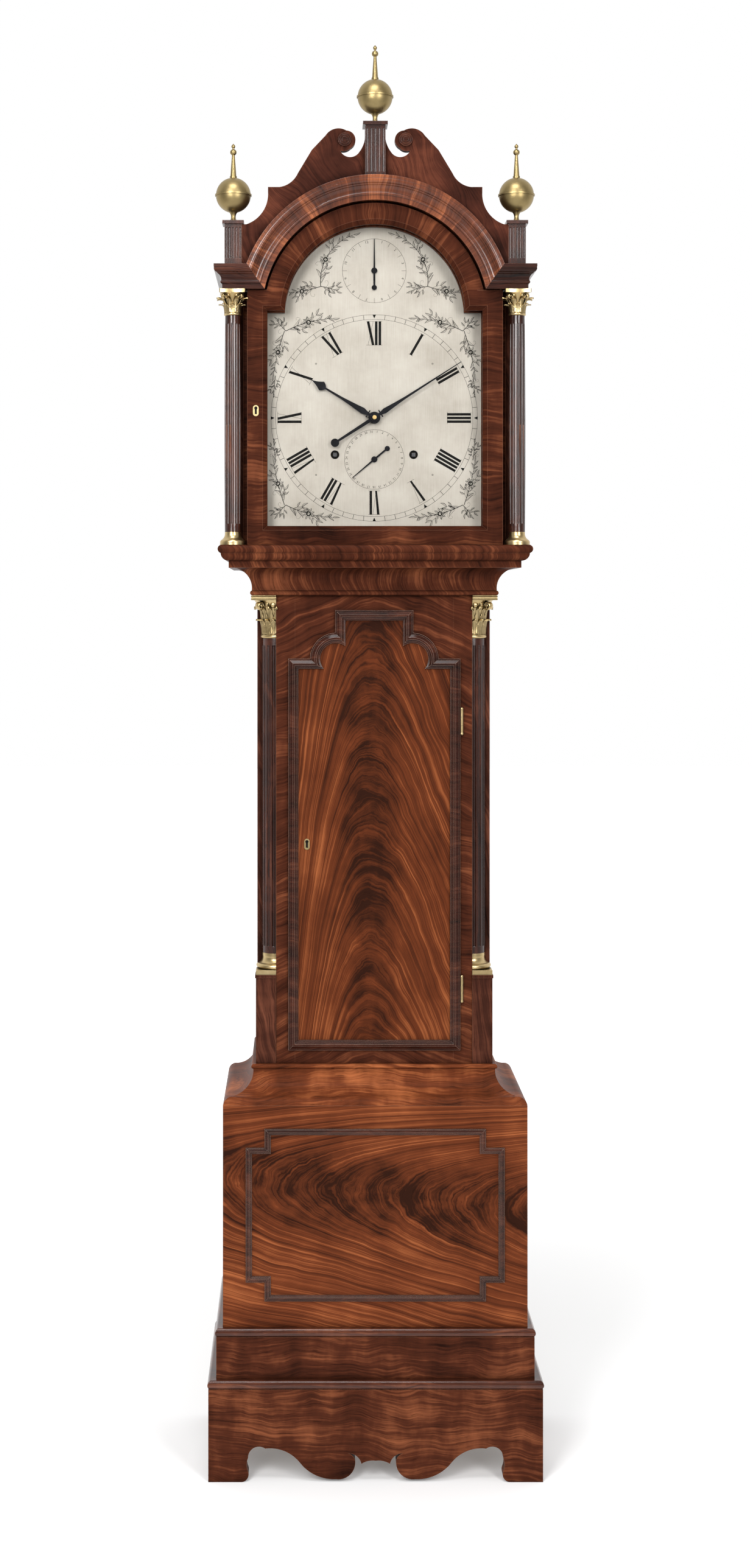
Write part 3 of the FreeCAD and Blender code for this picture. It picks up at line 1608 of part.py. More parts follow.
def minute_wheel():
    """The motion wheel and its pinion, turning on a stud of the front plate."""
    x, z = motion_axis
    y = front_plate_y - cannon_layer
    phase = mesh_phase(centre_axis, cannon_teeth, 0, motion_axis, minute_wheel_teeth)
    disc = toothed(motion_axis, minute_wheel_teeth, motion_module, pinion_form_shares, phase, y,
                   wheel_thickness)
    for window in crossed(motion_axis, motion_reach - cannon_teeth * motion_module / 2, y, wheel_thickness):
        disc = disc.cut(window)
    hour_y = front_plate_y - hour_layer
    leaves = toothed(motion_axis, minute_pinion_leaves, hour_module, pinion_form_shares, 0,
                     hour_y - pinion_overhang, y - hour_y + pinion_overhang + wheel_thickness)
    whole = fused([disc.Solids[0], leaves])
    bore = rod(x, z, hour_y - overrun, y + 2 * overrun, arbor_radius + running_clearance)
    return whole.cut(bore).Solids[0]


def pallets():
    """Anchor pallets above the escape wheel, with their arbor and the crutch behind the plate."""
    x, z = pallet_axis
    y = train_front + escape_layer
    reach = escape_radius + pallet_clearance
    cock_front = back_plate_back + cock_stand
    pieces = [
        rod(x, z, train_front + end_shake, cock_front - end_shake, arbor_radius),
        rod(x, z, front_plate_y + end_shake, cock_front + cock_plate / 2, pivot_radius),
    ]
    span = math.radians(pallet_span)
    half = pallet_width / 2
    arm_x = reach * math.sin(span)
    arm_z = escape_axis[1] + reach * math.cos(span)
    rise = z - arm_z
    for way in (-1, 1):
        arm = slab(
            (x, z + half * 2),
            ((x + way * (arm_x + half * 2), z - rise / 2), (x + way * (arm_x + half * 2), arm_z),
             (x + way * arm_x, arm_z), (x + way * arm_x, z - rise / 2), (x, z - half)),
            front_place(y),
            Vector(0, wheel_thickness, 0),
        )
        pieces.append(arm)
    pieces.append(rod(x, z, y, y + wheel_thickness, arbor_radius + half))
    crutch_y = back_plate_back + cock_stand / 2
    low = z - crutch_length
    pieces.append(box(-crutch_half, crutch_half, crutch_y, crutch_y + crutch_thickness, low, z))
    inner = pendulum_rod_radius + 2 * hinge_knuckle_gap
    outer = inner + crutch_prong
    pieces.append(box(-outer, outer, crutch_y, crutch_y + crutch_thickness, low, low + crutch_prong_height))
    for x0, x1 in ((-outer, -inner), (inner, outer)):
        pieces.append(box(x0, x1, crutch_y, pendulum_y + pendulum_rod_radius, low, low + crutch_prong_height))
    return fused(pieces)


pendulum_y = back_plate_back + cock_stand + cock_plate + stud_length / 2 - stud_cap / 2


def back_cock():
    """A bridge on the back plate: it bears the pallets in front and hangs the pendulum behind."""
    x, z = pallet_axis
    front = back_plate_back + cock_stand
    back = front + cock_plate
    low = z - cock_height / 2
    high = z + cock_height / 2
    pieces = [box(-cock_half, cock_half, front, back, low, high)]
    for x0, x1 in ((-cock_half, -cock_half + cock_leg), (cock_half - cock_leg, cock_half)):
        pieces.append(box(x0, x1, back_plate_back, front, low, high))
    pieces.append(rod(x, z, back, back + stud_length, stud_radius))
    pieces.append(rod(x, z, back + stud_length - stud_cap, back + stud_length, stud_cap_radius))
    bore = rod(x, z, front - overrun, front + cock_plate / 2 + end_shake, pivot_radius + running_clearance)
    return fused(pieces).cut(bore).Solids[0]


def pendulum():
    """Rod with a hanging eye, a lens-shaped bob and the rating nut under it."""
    z = pallet_axis[1]
    y = pendulum_y
    bob = z - pendulum_length
    half = pendulum_eye_depth / 2
    eye = rod(0, z, y - half, y + half, pendulum_eye_radius)
    low = bob - bob_radius - pendulum_tail
    stem = Part.makeCylinder(pendulum_rod_radius, z - low, Vector(0, y, low))
    nut_z = bob - bob_radius - rating_nut_gap - rating_nut_height
    nut = Part.makeCylinder(rating_nut_radius, rating_nut_height, Vector(0, y, nut_z))
    wide = bob_thickness / 2
    edge = bob_edge / 2
    swell = (bob_radius ** 2 + (wide - edge) ** 2) / (2 * (wide - edge))
    front = Part.makeSphere(swell, Vector(0, y - wide + swell, bob))
    back = Part.makeSphere(swell, Vector(0, y + wide - swell, bob))
    disc = rod(0, bob, y - wide - overrun, y + wide + overrun, bob_radius).common(front).common(back)
    disc = disc.Solids[0]
    bore = rod(0, z, y - stud_length, y + stud_length, stud_radius + running_clearance)
    return fused([eye, stem, disc, nut]).cut(bore).Solids[0]


def movement_plates():
    low = seat_top
    high = plate_top
    axes = ((second_axis, pivot_radius), (third_axis, pivot_radius), (fourth_axis, fine_pivot_radius),
            (escape_axis, fine_pivot_radius))
    front = box(-plate_half, plate_half, front_plate_y, train_front, low, high)
    back = box(-plate_half, plate_half, train_back, back_plate_back, low, high)
    front_y0, front_y1 = front_plate_y - overrun, train_front + overrun
    back_y0, back_y1 = train_back - overrun, back_plate_back + overrun
    for (x, z), radius in axes:
        front = front.cut(rod(x, z, front_y0, front_y1, radius + running_clearance))
        back = back.cut(rod(x, z, back_y0, back_y1, radius + running_clearance))
    front = front.cut(rod(*pallet_axis, front_y0, front_y1, pivot_radius + running_clearance))
    back = back.cut(rod(*pallet_axis, back_y0, back_y1, arbor_radius + slip_clearance))
    front = front.cut(rod(*centre_axis, front_y0, front_y1, centre_arbor_radius + running_clearance))
    back = back.cut(rod(*centre_axis, back_y0, back_y1, fine_pivot_radius + running_clearance))
    for x, z in barrel_axes:
        front = front.cut(rod(x, z, front_y0, front_y1, barrel_pivot_radius + running_clearance))
        back = back.cut(rod(x, z, back_y0, back_y1, barrel_pivot_radius + running_clearance))
    stud = rod(*motion_axis, front_plate_y - hour_layer - pinion_overhang, train_front, arbor_radius)
    return [fused([front.Solids[0], stud]), back.Solids[0]]


def movement_pillars():
    """Five plate pillars and the four feet that carry the dial."""
    low = seat_top + pillar_margin
    high = plate_top - pillar_margin
    x = plate_half - pillar_margin
    places = [(-x, low), (x, low), (-x, high), (x, high), (0, low)]
    pillars = [rod(a, b, train_front, train_back, pillar_radius) for a, b in places]
    for a in (-dial_foot_half, dial_foot_half):
        for b in (dial_centre + dial_foot_rise, dial_centre - dial_foot_drop):
            pillars.append(rod(a, b, dial_back, front_plate_y, dial_foot_radius))
    return pillars


line_y = train_front + drum_layer + drum_length / 2
line_reach = drum_radius + line_radius


def seatboard():
    y0 = front_plate_y - pillar_radius
    board = box(-trunk_half, trunk_half, y0, y0 + seat_depth, seat_foot, seat_top)
    long = seat_thickness + 2 * overrun
    for x in (-winding_half, winding_half):
        falling = Vector(x - line_reach, line_y, seat_foot - overrun)
        tied = Vector(x + line_reach, line_y, seat_foot - overrun)
        board = board.cut(Part.makeCylinder(line_hole_radius, long, falling))
        board = board.cut(Part.makeCylinder(line_radius + running_clearance, long, tied))
    return board.Solids[0]


pulley_z = seat_foot - pulley_drop
weight_top = pulley_z - drum_radius - pulley_rim - weight_hook


def weight(side):
    """A brass-cased weight hung from its pulley's stirrup, with the turn of line round the pulley."""
    x = (-winding_half, winding_half)[side]
    low = weight_top - weight_height
    dome_share = 0.75
    body = turned(
        ((weight_radius, 0), (weight_radius, weight_height - weight_dome),
         (weight_radius * dome_share, weight_height - weight_dome / 4, weight_radius / 3, weight_height),
         (0, weight_height)),
        x, line_y, low,
    )
    half = pulley_width / 2 + slip_clearance
    cheeks = []
    foot = weight_top - weight_dome
    for y0 in (line_y - half - stirrup_thickness, line_y + half):
        cheeks.append(box(x - stirrup_half, x + stirrup_half, y0, y0 + stirrup_thickness, foot,
                          pulley_z + stirrup_half))
    pin = rod(x, pulley_z, line_y - half - stirrup_thickness, line_y + half + stirrup_thickness, pivot_radius)
    frame = fused([body] + cheeks + [pin])
    groove = drum_radius - running_clearance
    rim = drum_radius + pulley_rim
    wide = pulley_width / 2
    profile = outline(
        (pivot_radius + running_clearance, -wide),
        ((rim, -wide), (rim, -wide / 2), (groove, 0, rim, wide / 2), (rim, wide),
         (pivot_radius + running_clearance, wide)),
        lambda r, d: Vector(x + r, line_y + d, pulley_z),
    )
    sheave = Part.Face(profile).revolve(Vector(x, line_y, pulley_z), Vector(0, 1, 0), 360).Solids[0]
    bend = Part.makeTorus(line_reach, line_radius, Vector(x, line_y, pulley_z), Vector(0, 1, 0))
    reach = line_reach + overrun
    below = box(x - reach, x + reach, line_y - reach, line_y + reach, pulley_z - reach, pulley_z)
    return [frame, sheave, bend.common(below).Solids[0]]


def strand(x, low, high):
    return Part.makeCylinder(line_radius, high - low, Vector(x, line_y, low))


def weight_lines():
    """The four straight falls of gut between the seatboard and the pulleys."""
    falls = []
    for x in (-winding_half, winding_half):
        for way in (-1, 1):
            falls.append(strand(x + way * line_reach, pulley_z, seat_foot))
    return falls


def line_ends():
    """Where the gut leaves the drums, and the knots that tie its other ends on the seatboard."""
    ends = []
    for x, z in barrel_axes:
        ends.append(strand(x - line_reach, seat_foot, z))
        knot = Part.makeCylinder(line_knot_radius, line_knot_height, Vector(x + line_reach, line_y, seat_top))
        ends.append(fused([strand(x + line_reach, seat_foot, seat_top + line_knot_height), knot]))
    return ends


os.makedirs("parts", exist_ok=True)
write("skirt_boards", skirt_boards())
write("base_mouldings", base_mouldings())
write("band_boards", walls(band_half, band_half - base_half, skirt_top, band_top))
write("base_front", [base_front()])
write("base_carcass", base_carcass())
write("base_panel_moulding", [base_panel_moulding()])
write("trunk_foot_moulding", trunk_foot_moulding())
write("backboard", [backboard()])
write("trunk_sides", trunk_sides())
write("trunk_front_frame", trunk_front_frame())
write("quarter_columns", quarter_columns())
write("quarter_blocks", quarter_blocks())
write("quarter_column_mounts", quarter_mounts())
write("throat_moulding", throat_moulding())
write("trunk_hinge_leaves", trunk_hinge_leaves())
write("trunk_door_panel", [trunk_door_panel()])
write("trunk_door_moulding", [trunk_door_moulding()])
write("trunk_door_hinges", [door_knuckles(z) for z in hinge_heights])
trunk_keyhole = (trunk_keyhole_inset - door_half, trunk_front - door_gap, door_foot + trunk_keyhole_rise)
write("trunk_door_escutcheon", [keyhole_plate(*trunk_keyhole)])
write("hood_base_frame", hood_base_frame())
write("hood_sides", hood_sides())
write("dial_mask", [dial_mask()])
write("hood_columns", hood_columns())
write("hood_column_mounts", hood_column_mounts())
write("hood_cornice", hood_cornice())
write("hood_arch_moulding", [hood_arch_moulding()])
write("hood_roof", hood_roof())
write("hood_pediment", hood_pediment())
write("pediment_roundels", pediment_roundels())
write("finial_plinths", finial_plinths())
write("finials", finials())
write("hood_door_frame", [hood_door_frame()])
write("hood_door_glass", [hood_door_glass()])
write("hood_door_pivots", hood_door_pivots())
hood_keyhole = (hood_keyhole_inset - hood_door_half, hood_door_front, hood_foot + hood_keyhole_rise)
write("hood_door_escutcheon", [keyhole_plate(*hood_keyhole)])
write("dial_plate", [dial_plate()])
write("minute_hand", [minute_hand()])
write("hour_hand", [hour_hand()])
write("date_hand", [small_hand(dial_centre - date_drop, date_length, date_angle)])
write("month_hand", [small_hand(dial_centre + month_rise, month_length, month_angle)])
write("movement_plates", movement_plates())
write("movement_pillars", movement_pillars())
write("back_cock", [back_cock()])
write("seatboard", [seatboard()])
for side, name in enumerate(("left", "right")):
    write(f"barrel_{name}", [barrel(side)])
    write(f"great_wheel_{name}", [great_wheel(side)])
    write(f"weight_{name}", weight(side))
write("weight_lines", weight_lines())
write("line_ends", line_ends())
write("second_wheel", [second_wheel()])
write("third_wheel", [third_wheel()])
write("centre_wheel", [centre_wheel()])
write("fourth_wheel", [fourth_wheel()])
write("escape_wheel", [escape_wheel()])
write("minute_wheel", [minute_wheel()])
write("pallets", [pallets()])
write("pendulum", [pendulum()])
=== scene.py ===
import json
import math

import bmesh
import bpy
from mathutils import Matrix, Vector


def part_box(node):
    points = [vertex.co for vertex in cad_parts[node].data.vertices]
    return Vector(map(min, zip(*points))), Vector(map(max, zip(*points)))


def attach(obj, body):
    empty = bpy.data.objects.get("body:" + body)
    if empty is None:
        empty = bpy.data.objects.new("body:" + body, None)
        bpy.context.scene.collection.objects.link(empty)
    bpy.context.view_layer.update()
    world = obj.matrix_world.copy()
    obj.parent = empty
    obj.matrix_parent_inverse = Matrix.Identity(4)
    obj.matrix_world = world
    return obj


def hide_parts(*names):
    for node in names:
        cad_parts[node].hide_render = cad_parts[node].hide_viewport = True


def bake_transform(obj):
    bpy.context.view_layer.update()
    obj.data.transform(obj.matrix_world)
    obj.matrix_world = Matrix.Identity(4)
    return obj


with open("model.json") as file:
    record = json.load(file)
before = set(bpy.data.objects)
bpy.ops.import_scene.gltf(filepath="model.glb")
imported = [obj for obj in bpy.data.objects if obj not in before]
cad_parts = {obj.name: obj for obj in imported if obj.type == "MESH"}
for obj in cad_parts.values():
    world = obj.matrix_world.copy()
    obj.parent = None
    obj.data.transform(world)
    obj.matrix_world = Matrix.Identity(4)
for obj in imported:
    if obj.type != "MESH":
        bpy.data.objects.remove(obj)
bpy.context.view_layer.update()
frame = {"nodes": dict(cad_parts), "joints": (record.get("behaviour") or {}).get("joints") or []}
nodes = frame["nodes"]
scene = bpy.context.scene
mm = 0.001

# Places taken from the frame
dial_low, dial_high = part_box("dial_plate")
dial_front = dial_low.y
dial_half = dial_high.x
dial_centre = dial_low.z + dial_half
pivots = {joint["name"]: joint.get("pos_m") for joint in frame["joints"]}
date_centre = pivots["date_spin"][2]
month_centre = pivots["month_spin"][2]
trunk_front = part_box("trunk_sides")[0].y

# Node trees
edge_samples = 6


class Tree:
    """A material's node tree, with short calls to add and join its nodes."""

    def __init__(self, name):
        self.material = bpy.data.materials.new(name)
        self.material.use_nodes = True
        self.nodes = self.material.node_tree.nodes
        self.links = self.material.node_tree.links
        self.bsdf = self.nodes["Principled BSDF"]

    def node(self, kind, **values):
        """A new node, with its settings and its sockets' plain values."""
        node = self.nodes.new(kind)
        for key, value in values.items():
            if hasattr(node, key):
                setattr(node, key, value)
            else:
                node.inputs[key].default_value = value
        return node

    def join(self, source, target):
        self.links.new(source, target)

    def feed(self, sockets, values):
        """Sets each socket to a number or a colour, or joins it to an output."""
        for socket, value in zip(sockets, values):
            if isinstance(value, (int, float)):
                socket.default_value = value
            elif isinstance(value, tuple):
                socket.default_value = (*value, 1.0)
            else:
                self.join(value, socket)

    def put(self, name, value):
        """Feeds one socket of the shader."""
        self.feed([self.bsdf.inputs[name]], [value])

    def math(self, operation, a, b=0.0):
        node = self.node("ShaderNodeMath", operation=operation)
        self.feed(node.inputs, (a, b))
        return node.outputs[0]

    def plus(self, a, b):
        return self.math("ADD", a, b)

    def minus(self, a, b):
        return self.math("SUBTRACT", a, b)

    def times(self, a, b):
        return self.math("MULTIPLY", a, b)

    def combine(self, x, y, z):
        node = self.node("ShaderNodeCombineXYZ")
        self.feed(node.inputs, (x, y, z))
        return node.outputs[0]

    def noise(self, vector, scale, detail=4.0, roughness=0.55):
        node = self.node("ShaderNodeTexNoise", Scale=scale, Detail=detail, Roughness=roughness)
        self.join(vector, node.inputs["Vector"])
        return node.outputs["Fac"]

    def ripple(self, vector, scale, detail, reach):
        """Noise about zero, over a reach."""
        return self.times(self.minus(self.noise(vector, scale, detail), 0.5), reach)

    def grain(self, lines, along, pitch, drift, detail, roughness=0.55):
        """Noise drawn out along the grain, with a pitch across its lines and a drift along them."""
        flow = self.combine(self.times(lines, pitch), self.times(along, drift), 0.0)
        return self.noise(flow, 1.0, detail, roughness)

    def ramp(self, factor, stops):
        node = self.node("ShaderNodeValToRGB")
        band = node.color_ramp
        while len(band.elements) < len(stops):
            band.elements.new(0.5)
        for element, (place, colour) in zip(band.elements, stops):
            element.position = place
            element.color = (*colour, 1.0)
        self.join(factor, node.inputs[0])
        return node.outputs[0]

    def mix(self, factor, a, b, blend="MIX"):
        node = self.node("ShaderNodeMix", data_type="RGBA", blend_type=blend)
        self.feed((node.inputs[0], node.inputs[6], node.inputs[7]), (factor, a, b))
        return node.outputs[2]

    def bump(self, height, strength, distance, rounding=0.0):
        """Relief from a height, on edges that are softened by a rounding in metres."""
        node = self.node("ShaderNodeBump", Strength=strength, Distance=distance)
        self.join(height, node.inputs["Height"])
        if rounding:
            edge = self.node("ShaderNodeBevel", samples=edge_samples, Radius=rounding)
            self.join(edge.outputs[0], node.inputs["Normal"])
        self.join(node.outputs[0], self.bsdf.inputs["Normal"])

    def paint_shade_and_highlight(self, colour, distance, depth, edge_highlight_colour=None, radius=0.0):
        """The colour with painted shade, darkened by depth in hollows where occlusion is (on brass it
        stands also for grime), and with a painted highlight of a given colour on open edges.
        """
        # Painted shade: ambient occlusion darkens the colour in hollows.
        node = self.node("ShaderNodeAmbientOcclusion", samples=edge_samples, Distance=distance)
        open_share = node.outputs["AO"]
        shade = self.plus(self.times(open_share, depth), 1.0 - depth)
        grey = self.node("ShaderNodeCombineColor")
        self.feed(grey.inputs, (shade, shade, shade))
        colour = self.mix(1.0, colour, grey.outputs[0], "MULTIPLY")
        if edge_highlight_colour is not None:
            # Painted highlight: open edges, where a rounded normal turns away from the true normal, are
            # lightened toward a given colour.
            highlight_gain, highlight_limit, openness = 7.0, 0.75, 4.0
            rounded = self.node("ShaderNodeBevel", samples=edge_samples, Radius=radius)
            flat = self.node("ShaderNodeNewGeometry")
            dot = self.node("ShaderNodeVectorMath", operation="DOT_PRODUCT")
            self.feed(dot.inputs, (rounded.outputs[0], flat.outputs["True Normal"]))
            turned = self.minus(1.0, dot.outputs["Value"])
            edge_highlight = self.times(self.times(turned, highlight_gain), self.math("POWER", open_share, openness))
            edge_highlight = self.times(self.math("MINIMUM", edge_highlight, 1.0), highlight_limit)
            colour = self.mix(edge_highlight, colour, edge_highlight_colour)
        return colour

    def stretch(self, value, low, high, top=1.0):
        """A smooth step from zero at low to top at high."""
        ends = {"From Min": low, "From Max": high, "To Max": top}
        node = self.node("ShaderNodeMapRange", interpolation_type="SMOOTHSTEP", **ends)
        self.join(value, node.inputs["Value"])
        return node.outputs[0]

    def place(self):
        """Object coordinates, in metres in the clock's frame."""
        return self.node("ShaderNodeTexCoord").outputs["Object"]

    def split(self, vector):
        """The three parts of a vector."""
        node = self.node("ShaderNodeSeparateXYZ")
        self.join(vector, node.inputs[0])
        return node.outputs[0], node.outputs[1], node.outputs[2]


# Polished wood: pitches and drifts of its grain per metre, and what each grain adds to the tone
band_pitch = 40.0
thread_pitch, thread_drift = 230.0, 7.0
mottle_pitch, mottle_drift = 16.0, 40.0
pore_pitch, pore_drift = 900.0, 28.0
band_share, cloud_share, thread_share, mottle_share = 0.38, 0.20, 0.30, 0.12
tone_stops = (0.38, 0.51, 0.64)
pore_start, pore_strength, pore_shade = 0.62, 0.45, 0.5
cloud_dulling = 0.66
euler = 2.718


def mahogany(name, figure, palette, centre=0.0, spread=0.12, rise=0.5, skew=0.0, heart_depth=0.0,
             sway=0.06, gloss=0.015, edge_highlight_colour=(0.20, 0.088, 0.052), edge_highlight=0.0012, smoky=0.0, crimp=0.0,
             shade=(0.012, 0.75), polish=0.24):
    """Polished mahogany. The figure is plume, swirl, arch, or x, y or z for the way of straight grain."""
    tree = Tree(name)
    vector = tree.place()
    x, y, z = tree.split(vector)
    slow_wave = tree.ripple(vector, scale=5.0, detail=3.0, reach=sway)
    quick_wave = tree.ripple(vector, scale=24.0, detail=2.0, reach=0.007)
    wander = tree.plus(slow_wave, quick_wave)
    heart = None
    band_drift = 1.5
    if figure in ("plume", "swirl"):
        band_drift = 2.0
        along, across = (z, x) if figure == "plume" else (x, z)
        heart_sway, swirl_tilt, least_rise = 0.35, 0.12, 0.05
        offset = tree.plus(tree.minus(across, centre), tree.times(slow_wave, heart_sway))
        if figure == "swirl":
            offset = tree.plus(offset, tree.times(x, swirl_tilt))
        offset = tree.math("DIVIDE", offset, spread)
        size = tree.math("ABSOLUTE", offset)
        steep = tree.times(tree.minus(1.0, tree.times(offset, skew)), rise)
        bow = tree.times(tree.math("POWER", size, 2.0), tree.math("MAXIMUM", steep, least_rise))
        ragged = tree.plus(size, tree.ripple(vector, scale=30.0, detail=4.0, reach=0.30))
        fall_off = tree.times(tree.math("POWER", ragged, 4.0), -60.0)
        heart = tree.math("POWER", euler, fall_off)
        crinkle = tree.ripple(vector, scale=40.0, detail=4.0, reach=crimp)
        wander = tree.plus(wander, tree.times(crinkle, heart))
        opening = "ADD" if figure == "plume" else "SUBTRACT"
        lines = tree.plus(tree.math(opening, along, bow), wander)
    elif figure == "arch":
        across = x
        high = tree.minus(z, centre)
        turn = tree.math("ARCTAN2", tree.math("MAXIMUM", high, 0.0), tree.math("ABSOLUTE", x))
        lines = tree.plus(tree.times(turn, spread), tree.math("MINIMUM", high, 0.0))
        lines = tree.plus(lines, wander)
    else:
        parts = {"x": x, "y": y, "z": z}
        across = parts.pop(figure)
        first, second = parts.values()
        if figure == "x":
            depth_share = 0.25
            first = tree.times(first, depth_share)
        lines = tree.plus(tree.plus(first, second), wander)
        lines = tree.plus(lines, tree.times(tree.math("ABSOLUTE", across), skew))
    bands = tree.grain(lines, across, band_pitch, band_drift, detail=4.0, roughness=0.58)
    threads = tree.grain(lines, across, thread_pitch, thread_drift, detail=4.0, roughness=0.62)
    cloud = tree.noise(vector, scale=9.0)
    mottle = tree.grain(lines, across, mottle_pitch, mottle_drift, detail=3.0)
    tone = tree.plus(tree.times(bands, band_share - smoky), tree.times(cloud, cloud_share + smoky))
    tone = tree.plus(tone, tree.times(threads, thread_share))
    tone = tree.plus(tone, tree.times(mottle, mottle_share))
    if heart is not None:
        patch_gain, patch_start = 2.8, 0.5
        patch = tree.times(tree.noise(vector, scale=22.0, detail=5.0), patch_gain)
        patch = tree.minus(patch, patch_start)
        tone = tree.minus(tone, tree.times(tree.times(heart, patch), heart_depth))
    colour = tree.ramp(tone, tuple(zip(tone_stops, palette)))
    pores = tree.grain(lines, across, pore_pitch, pore_drift, detail=2.0)
    pore_mask = tree.times(tree.math("GREATER_THAN", pores, pore_start), pore_strength)
    colour = tree.mix(pore_mask, colour, tuple(pore_shade * part for part in palette[0]))
    # Painted shade in hollows and a painted highlight on open edges go into the wood's colour.
    tree.put("Base Color", tree.paint_shade_and_highlight(colour, *shade, edge_highlight_colour, edge_highlight))
    tree.put("Roughness", tree.plus(tree.times(cloud, cloud_dulling * polish), polish))
    tree.put("Specular IOR Level", gloss)
    tree.bump(threads, strength=0.06, distance=0.6 * mm, rounding=0.9 * mm)
    return tree.material


def brass(name, bright, tarnish, roughness, dirt_and_shade=0.5):
    """Lacquered brass with cloudy tarnish and fine scratches, darkened in hollows by occlusion: painted
    shade that stands also for grime.
    """
    dirt_and_shade_reach = 6 * mm
    scratch_across, scratch_along = 2400.0, 300.0
    rough_range = 0.06
    tree = Tree(name)
    vector = tree.place()
    x, y, z = tree.split(vector)
    cloud = tree.noise(vector, scale=34.0, detail=6.0, roughness=0.7)
    colour = tree.ramp(cloud, ((0.28, tarnish), (0.66, bright)))
    # Painted shade, also standing for grime: occlusion darkens the brass in its hollows.
    tree.put("Base Color", tree.paint_shade_and_highlight(colour, dirt_and_shade_reach, dirt_and_shade))
    tree.put("Metallic", 1.0)
    tree.put("Roughness", tree.plus(tree.times(cloud, rough_range), roughness - rough_range / 2))
    flow = tree.combine(tree.times(x, scratch_along), tree.times(y, scratch_along),
                        tree.times(z, scratch_across))
    scratches = tree.noise(flow, scale=1.0, detail=2.0)
    tree.bump(scratches, strength=0.015, distance=0.2 * mm, rounding=0.4 * mm)
    return tree.material


def silvered(name):
    """The matt silvered dial: creamy, brushed up and down, and faintly mottled."""
    dull, fair, clean = (0.275, 0.248, 0.205), (0.345, 0.317, 0.270), (0.395, 0.370, 0.322)
    brush_across, brush_along = 900.0, 26.0
    cloud_part, brush_part = 0.7, 0.3
    tree = Tree(name)
    vector = tree.place()
    parts = tree.split(vector)
    cloud = tree.noise(vector, scale=16.0, detail=5.0, roughness=0.6)
    flow = tree.combine(tree.times(parts[0], brush_across), 0.0, tree.times(parts[2], brush_along))
    brush = tree.noise(flow, scale=1.0, detail=3.0)
    tone = tree.plus(tree.times(cloud, cloud_part), tree.times(brush, brush_part))
    tree.put("Base Color", tree.ramp(tone, ((0.32, dull), (0.52, fair), (0.70, clean))))
    tree.put("Metallic", 0.25)
    tree.put("Roughness", 0.48)
    tree.bump(brush, strength=0.03, distance=0.2 * mm)
    return tree.material


def clouded(name, low, high, scale, detail, roughness, gloss=0.5):
    """A finish that clouds between two stops, each a place on the ramp and a colour."""
    tree = Tree(name)
    tree.put("Base Color", tree.ramp(tree.noise(tree.place(), scale, detail), (low, high)))
    tree.put("Roughness", roughness)
    tree.put("Specular IOR Level", gloss)
    return tree.material


def ink(name):
    """Black wax in the engraving; the same black is also painted shade in the keyholes and round the
    winding squares.
    """
    return clouded(name, (0.3, (0.003, 0.003, 0.003)), (0.7, (0.010, 0.009, 0.008)),
                   scale=400.0, detail=3.0, roughness=0.6, gloss=0.05)


def blued(name):
    """Blackened steel hands with a low sheen."""
    return clouded(name, (0.35, (0.003, 0.003, 0.004)), (0.7, (0.008, 0.008, 0.010)),
                   scale=90.0, detail=4.0, roughness=0.30, gloss=0.14)


def plain(name, colour, roughness, scale):
    """A rough plain finish with slight clouding."""
    dimmer = tuple(0.82 * part for part in colour)
    return clouded(name, (0.3, dimmer), (0.7, colour), scale, detail=4.0, roughness=roughness)


def clear_glass(name):
    """Thin old crown glass, faintly smeared."""
    tree = Tree(name)
    smear_limit = 0.05
    smear = tree.noise(tree.place(), scale=7.0, detail=3.0)
    tree.put("Roughness", tree.times(smear, smear_limit))
    tree.put("Base Color", (1.0, 1.0, 1.0))
    tree.put("Transmission Weight", 1.0)
    tree.put("IOR", 1.12)
    tree.put("Alpha", 0.05)
    return tree.material


# Tones of wood, each as dark, middle and light
warm = ((0.024, 0.0084, 0.0050), (0.112, 0.0282, 0.0104), (0.370, 0.1140, 0.0390))
golden = ((0.026, 0.0090, 0.0052), (0.135, 0.0345, 0.0128), (0.420, 0.1300, 0.0450))
ruddy = ((0.014, 0.0050, 0.0034), (0.070, 0.0196, 0.0096), (0.245, 0.0775, 0.0330))
shaded_red = ((0.012, 0.0042, 0.0028), (0.055, 0.0153, 0.0076), (0.190, 0.0600, 0.0256))
dusky = ((0.013, 0.0054, 0.0040), (0.050, 0.0155, 0.0096), (0.125, 0.0380, 0.0205))
deep = ((0.010, 0.0043, 0.0033), (0.048, 0.0160, 0.0100), (0.145, 0.0490, 0.0275))
dark_polish = ((0.008, 0.0034, 0.0026), (0.036, 0.0105, 0.0062), (0.110, 0.0335, 0.0172))
oak_tones = ((0.10, 0.058, 0.027), (0.20, 0.125, 0.062), (0.30, 0.20, 0.105))
panel_low, panel_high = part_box("base_panel_moulding")
heart_share = 0.62
heart_height = panel_low.z + heart_share * (panel_high.z - panel_low.z)
arch_radius = 140 * mm
arch_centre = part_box("hood_door_glass")[1].z - arch_radius
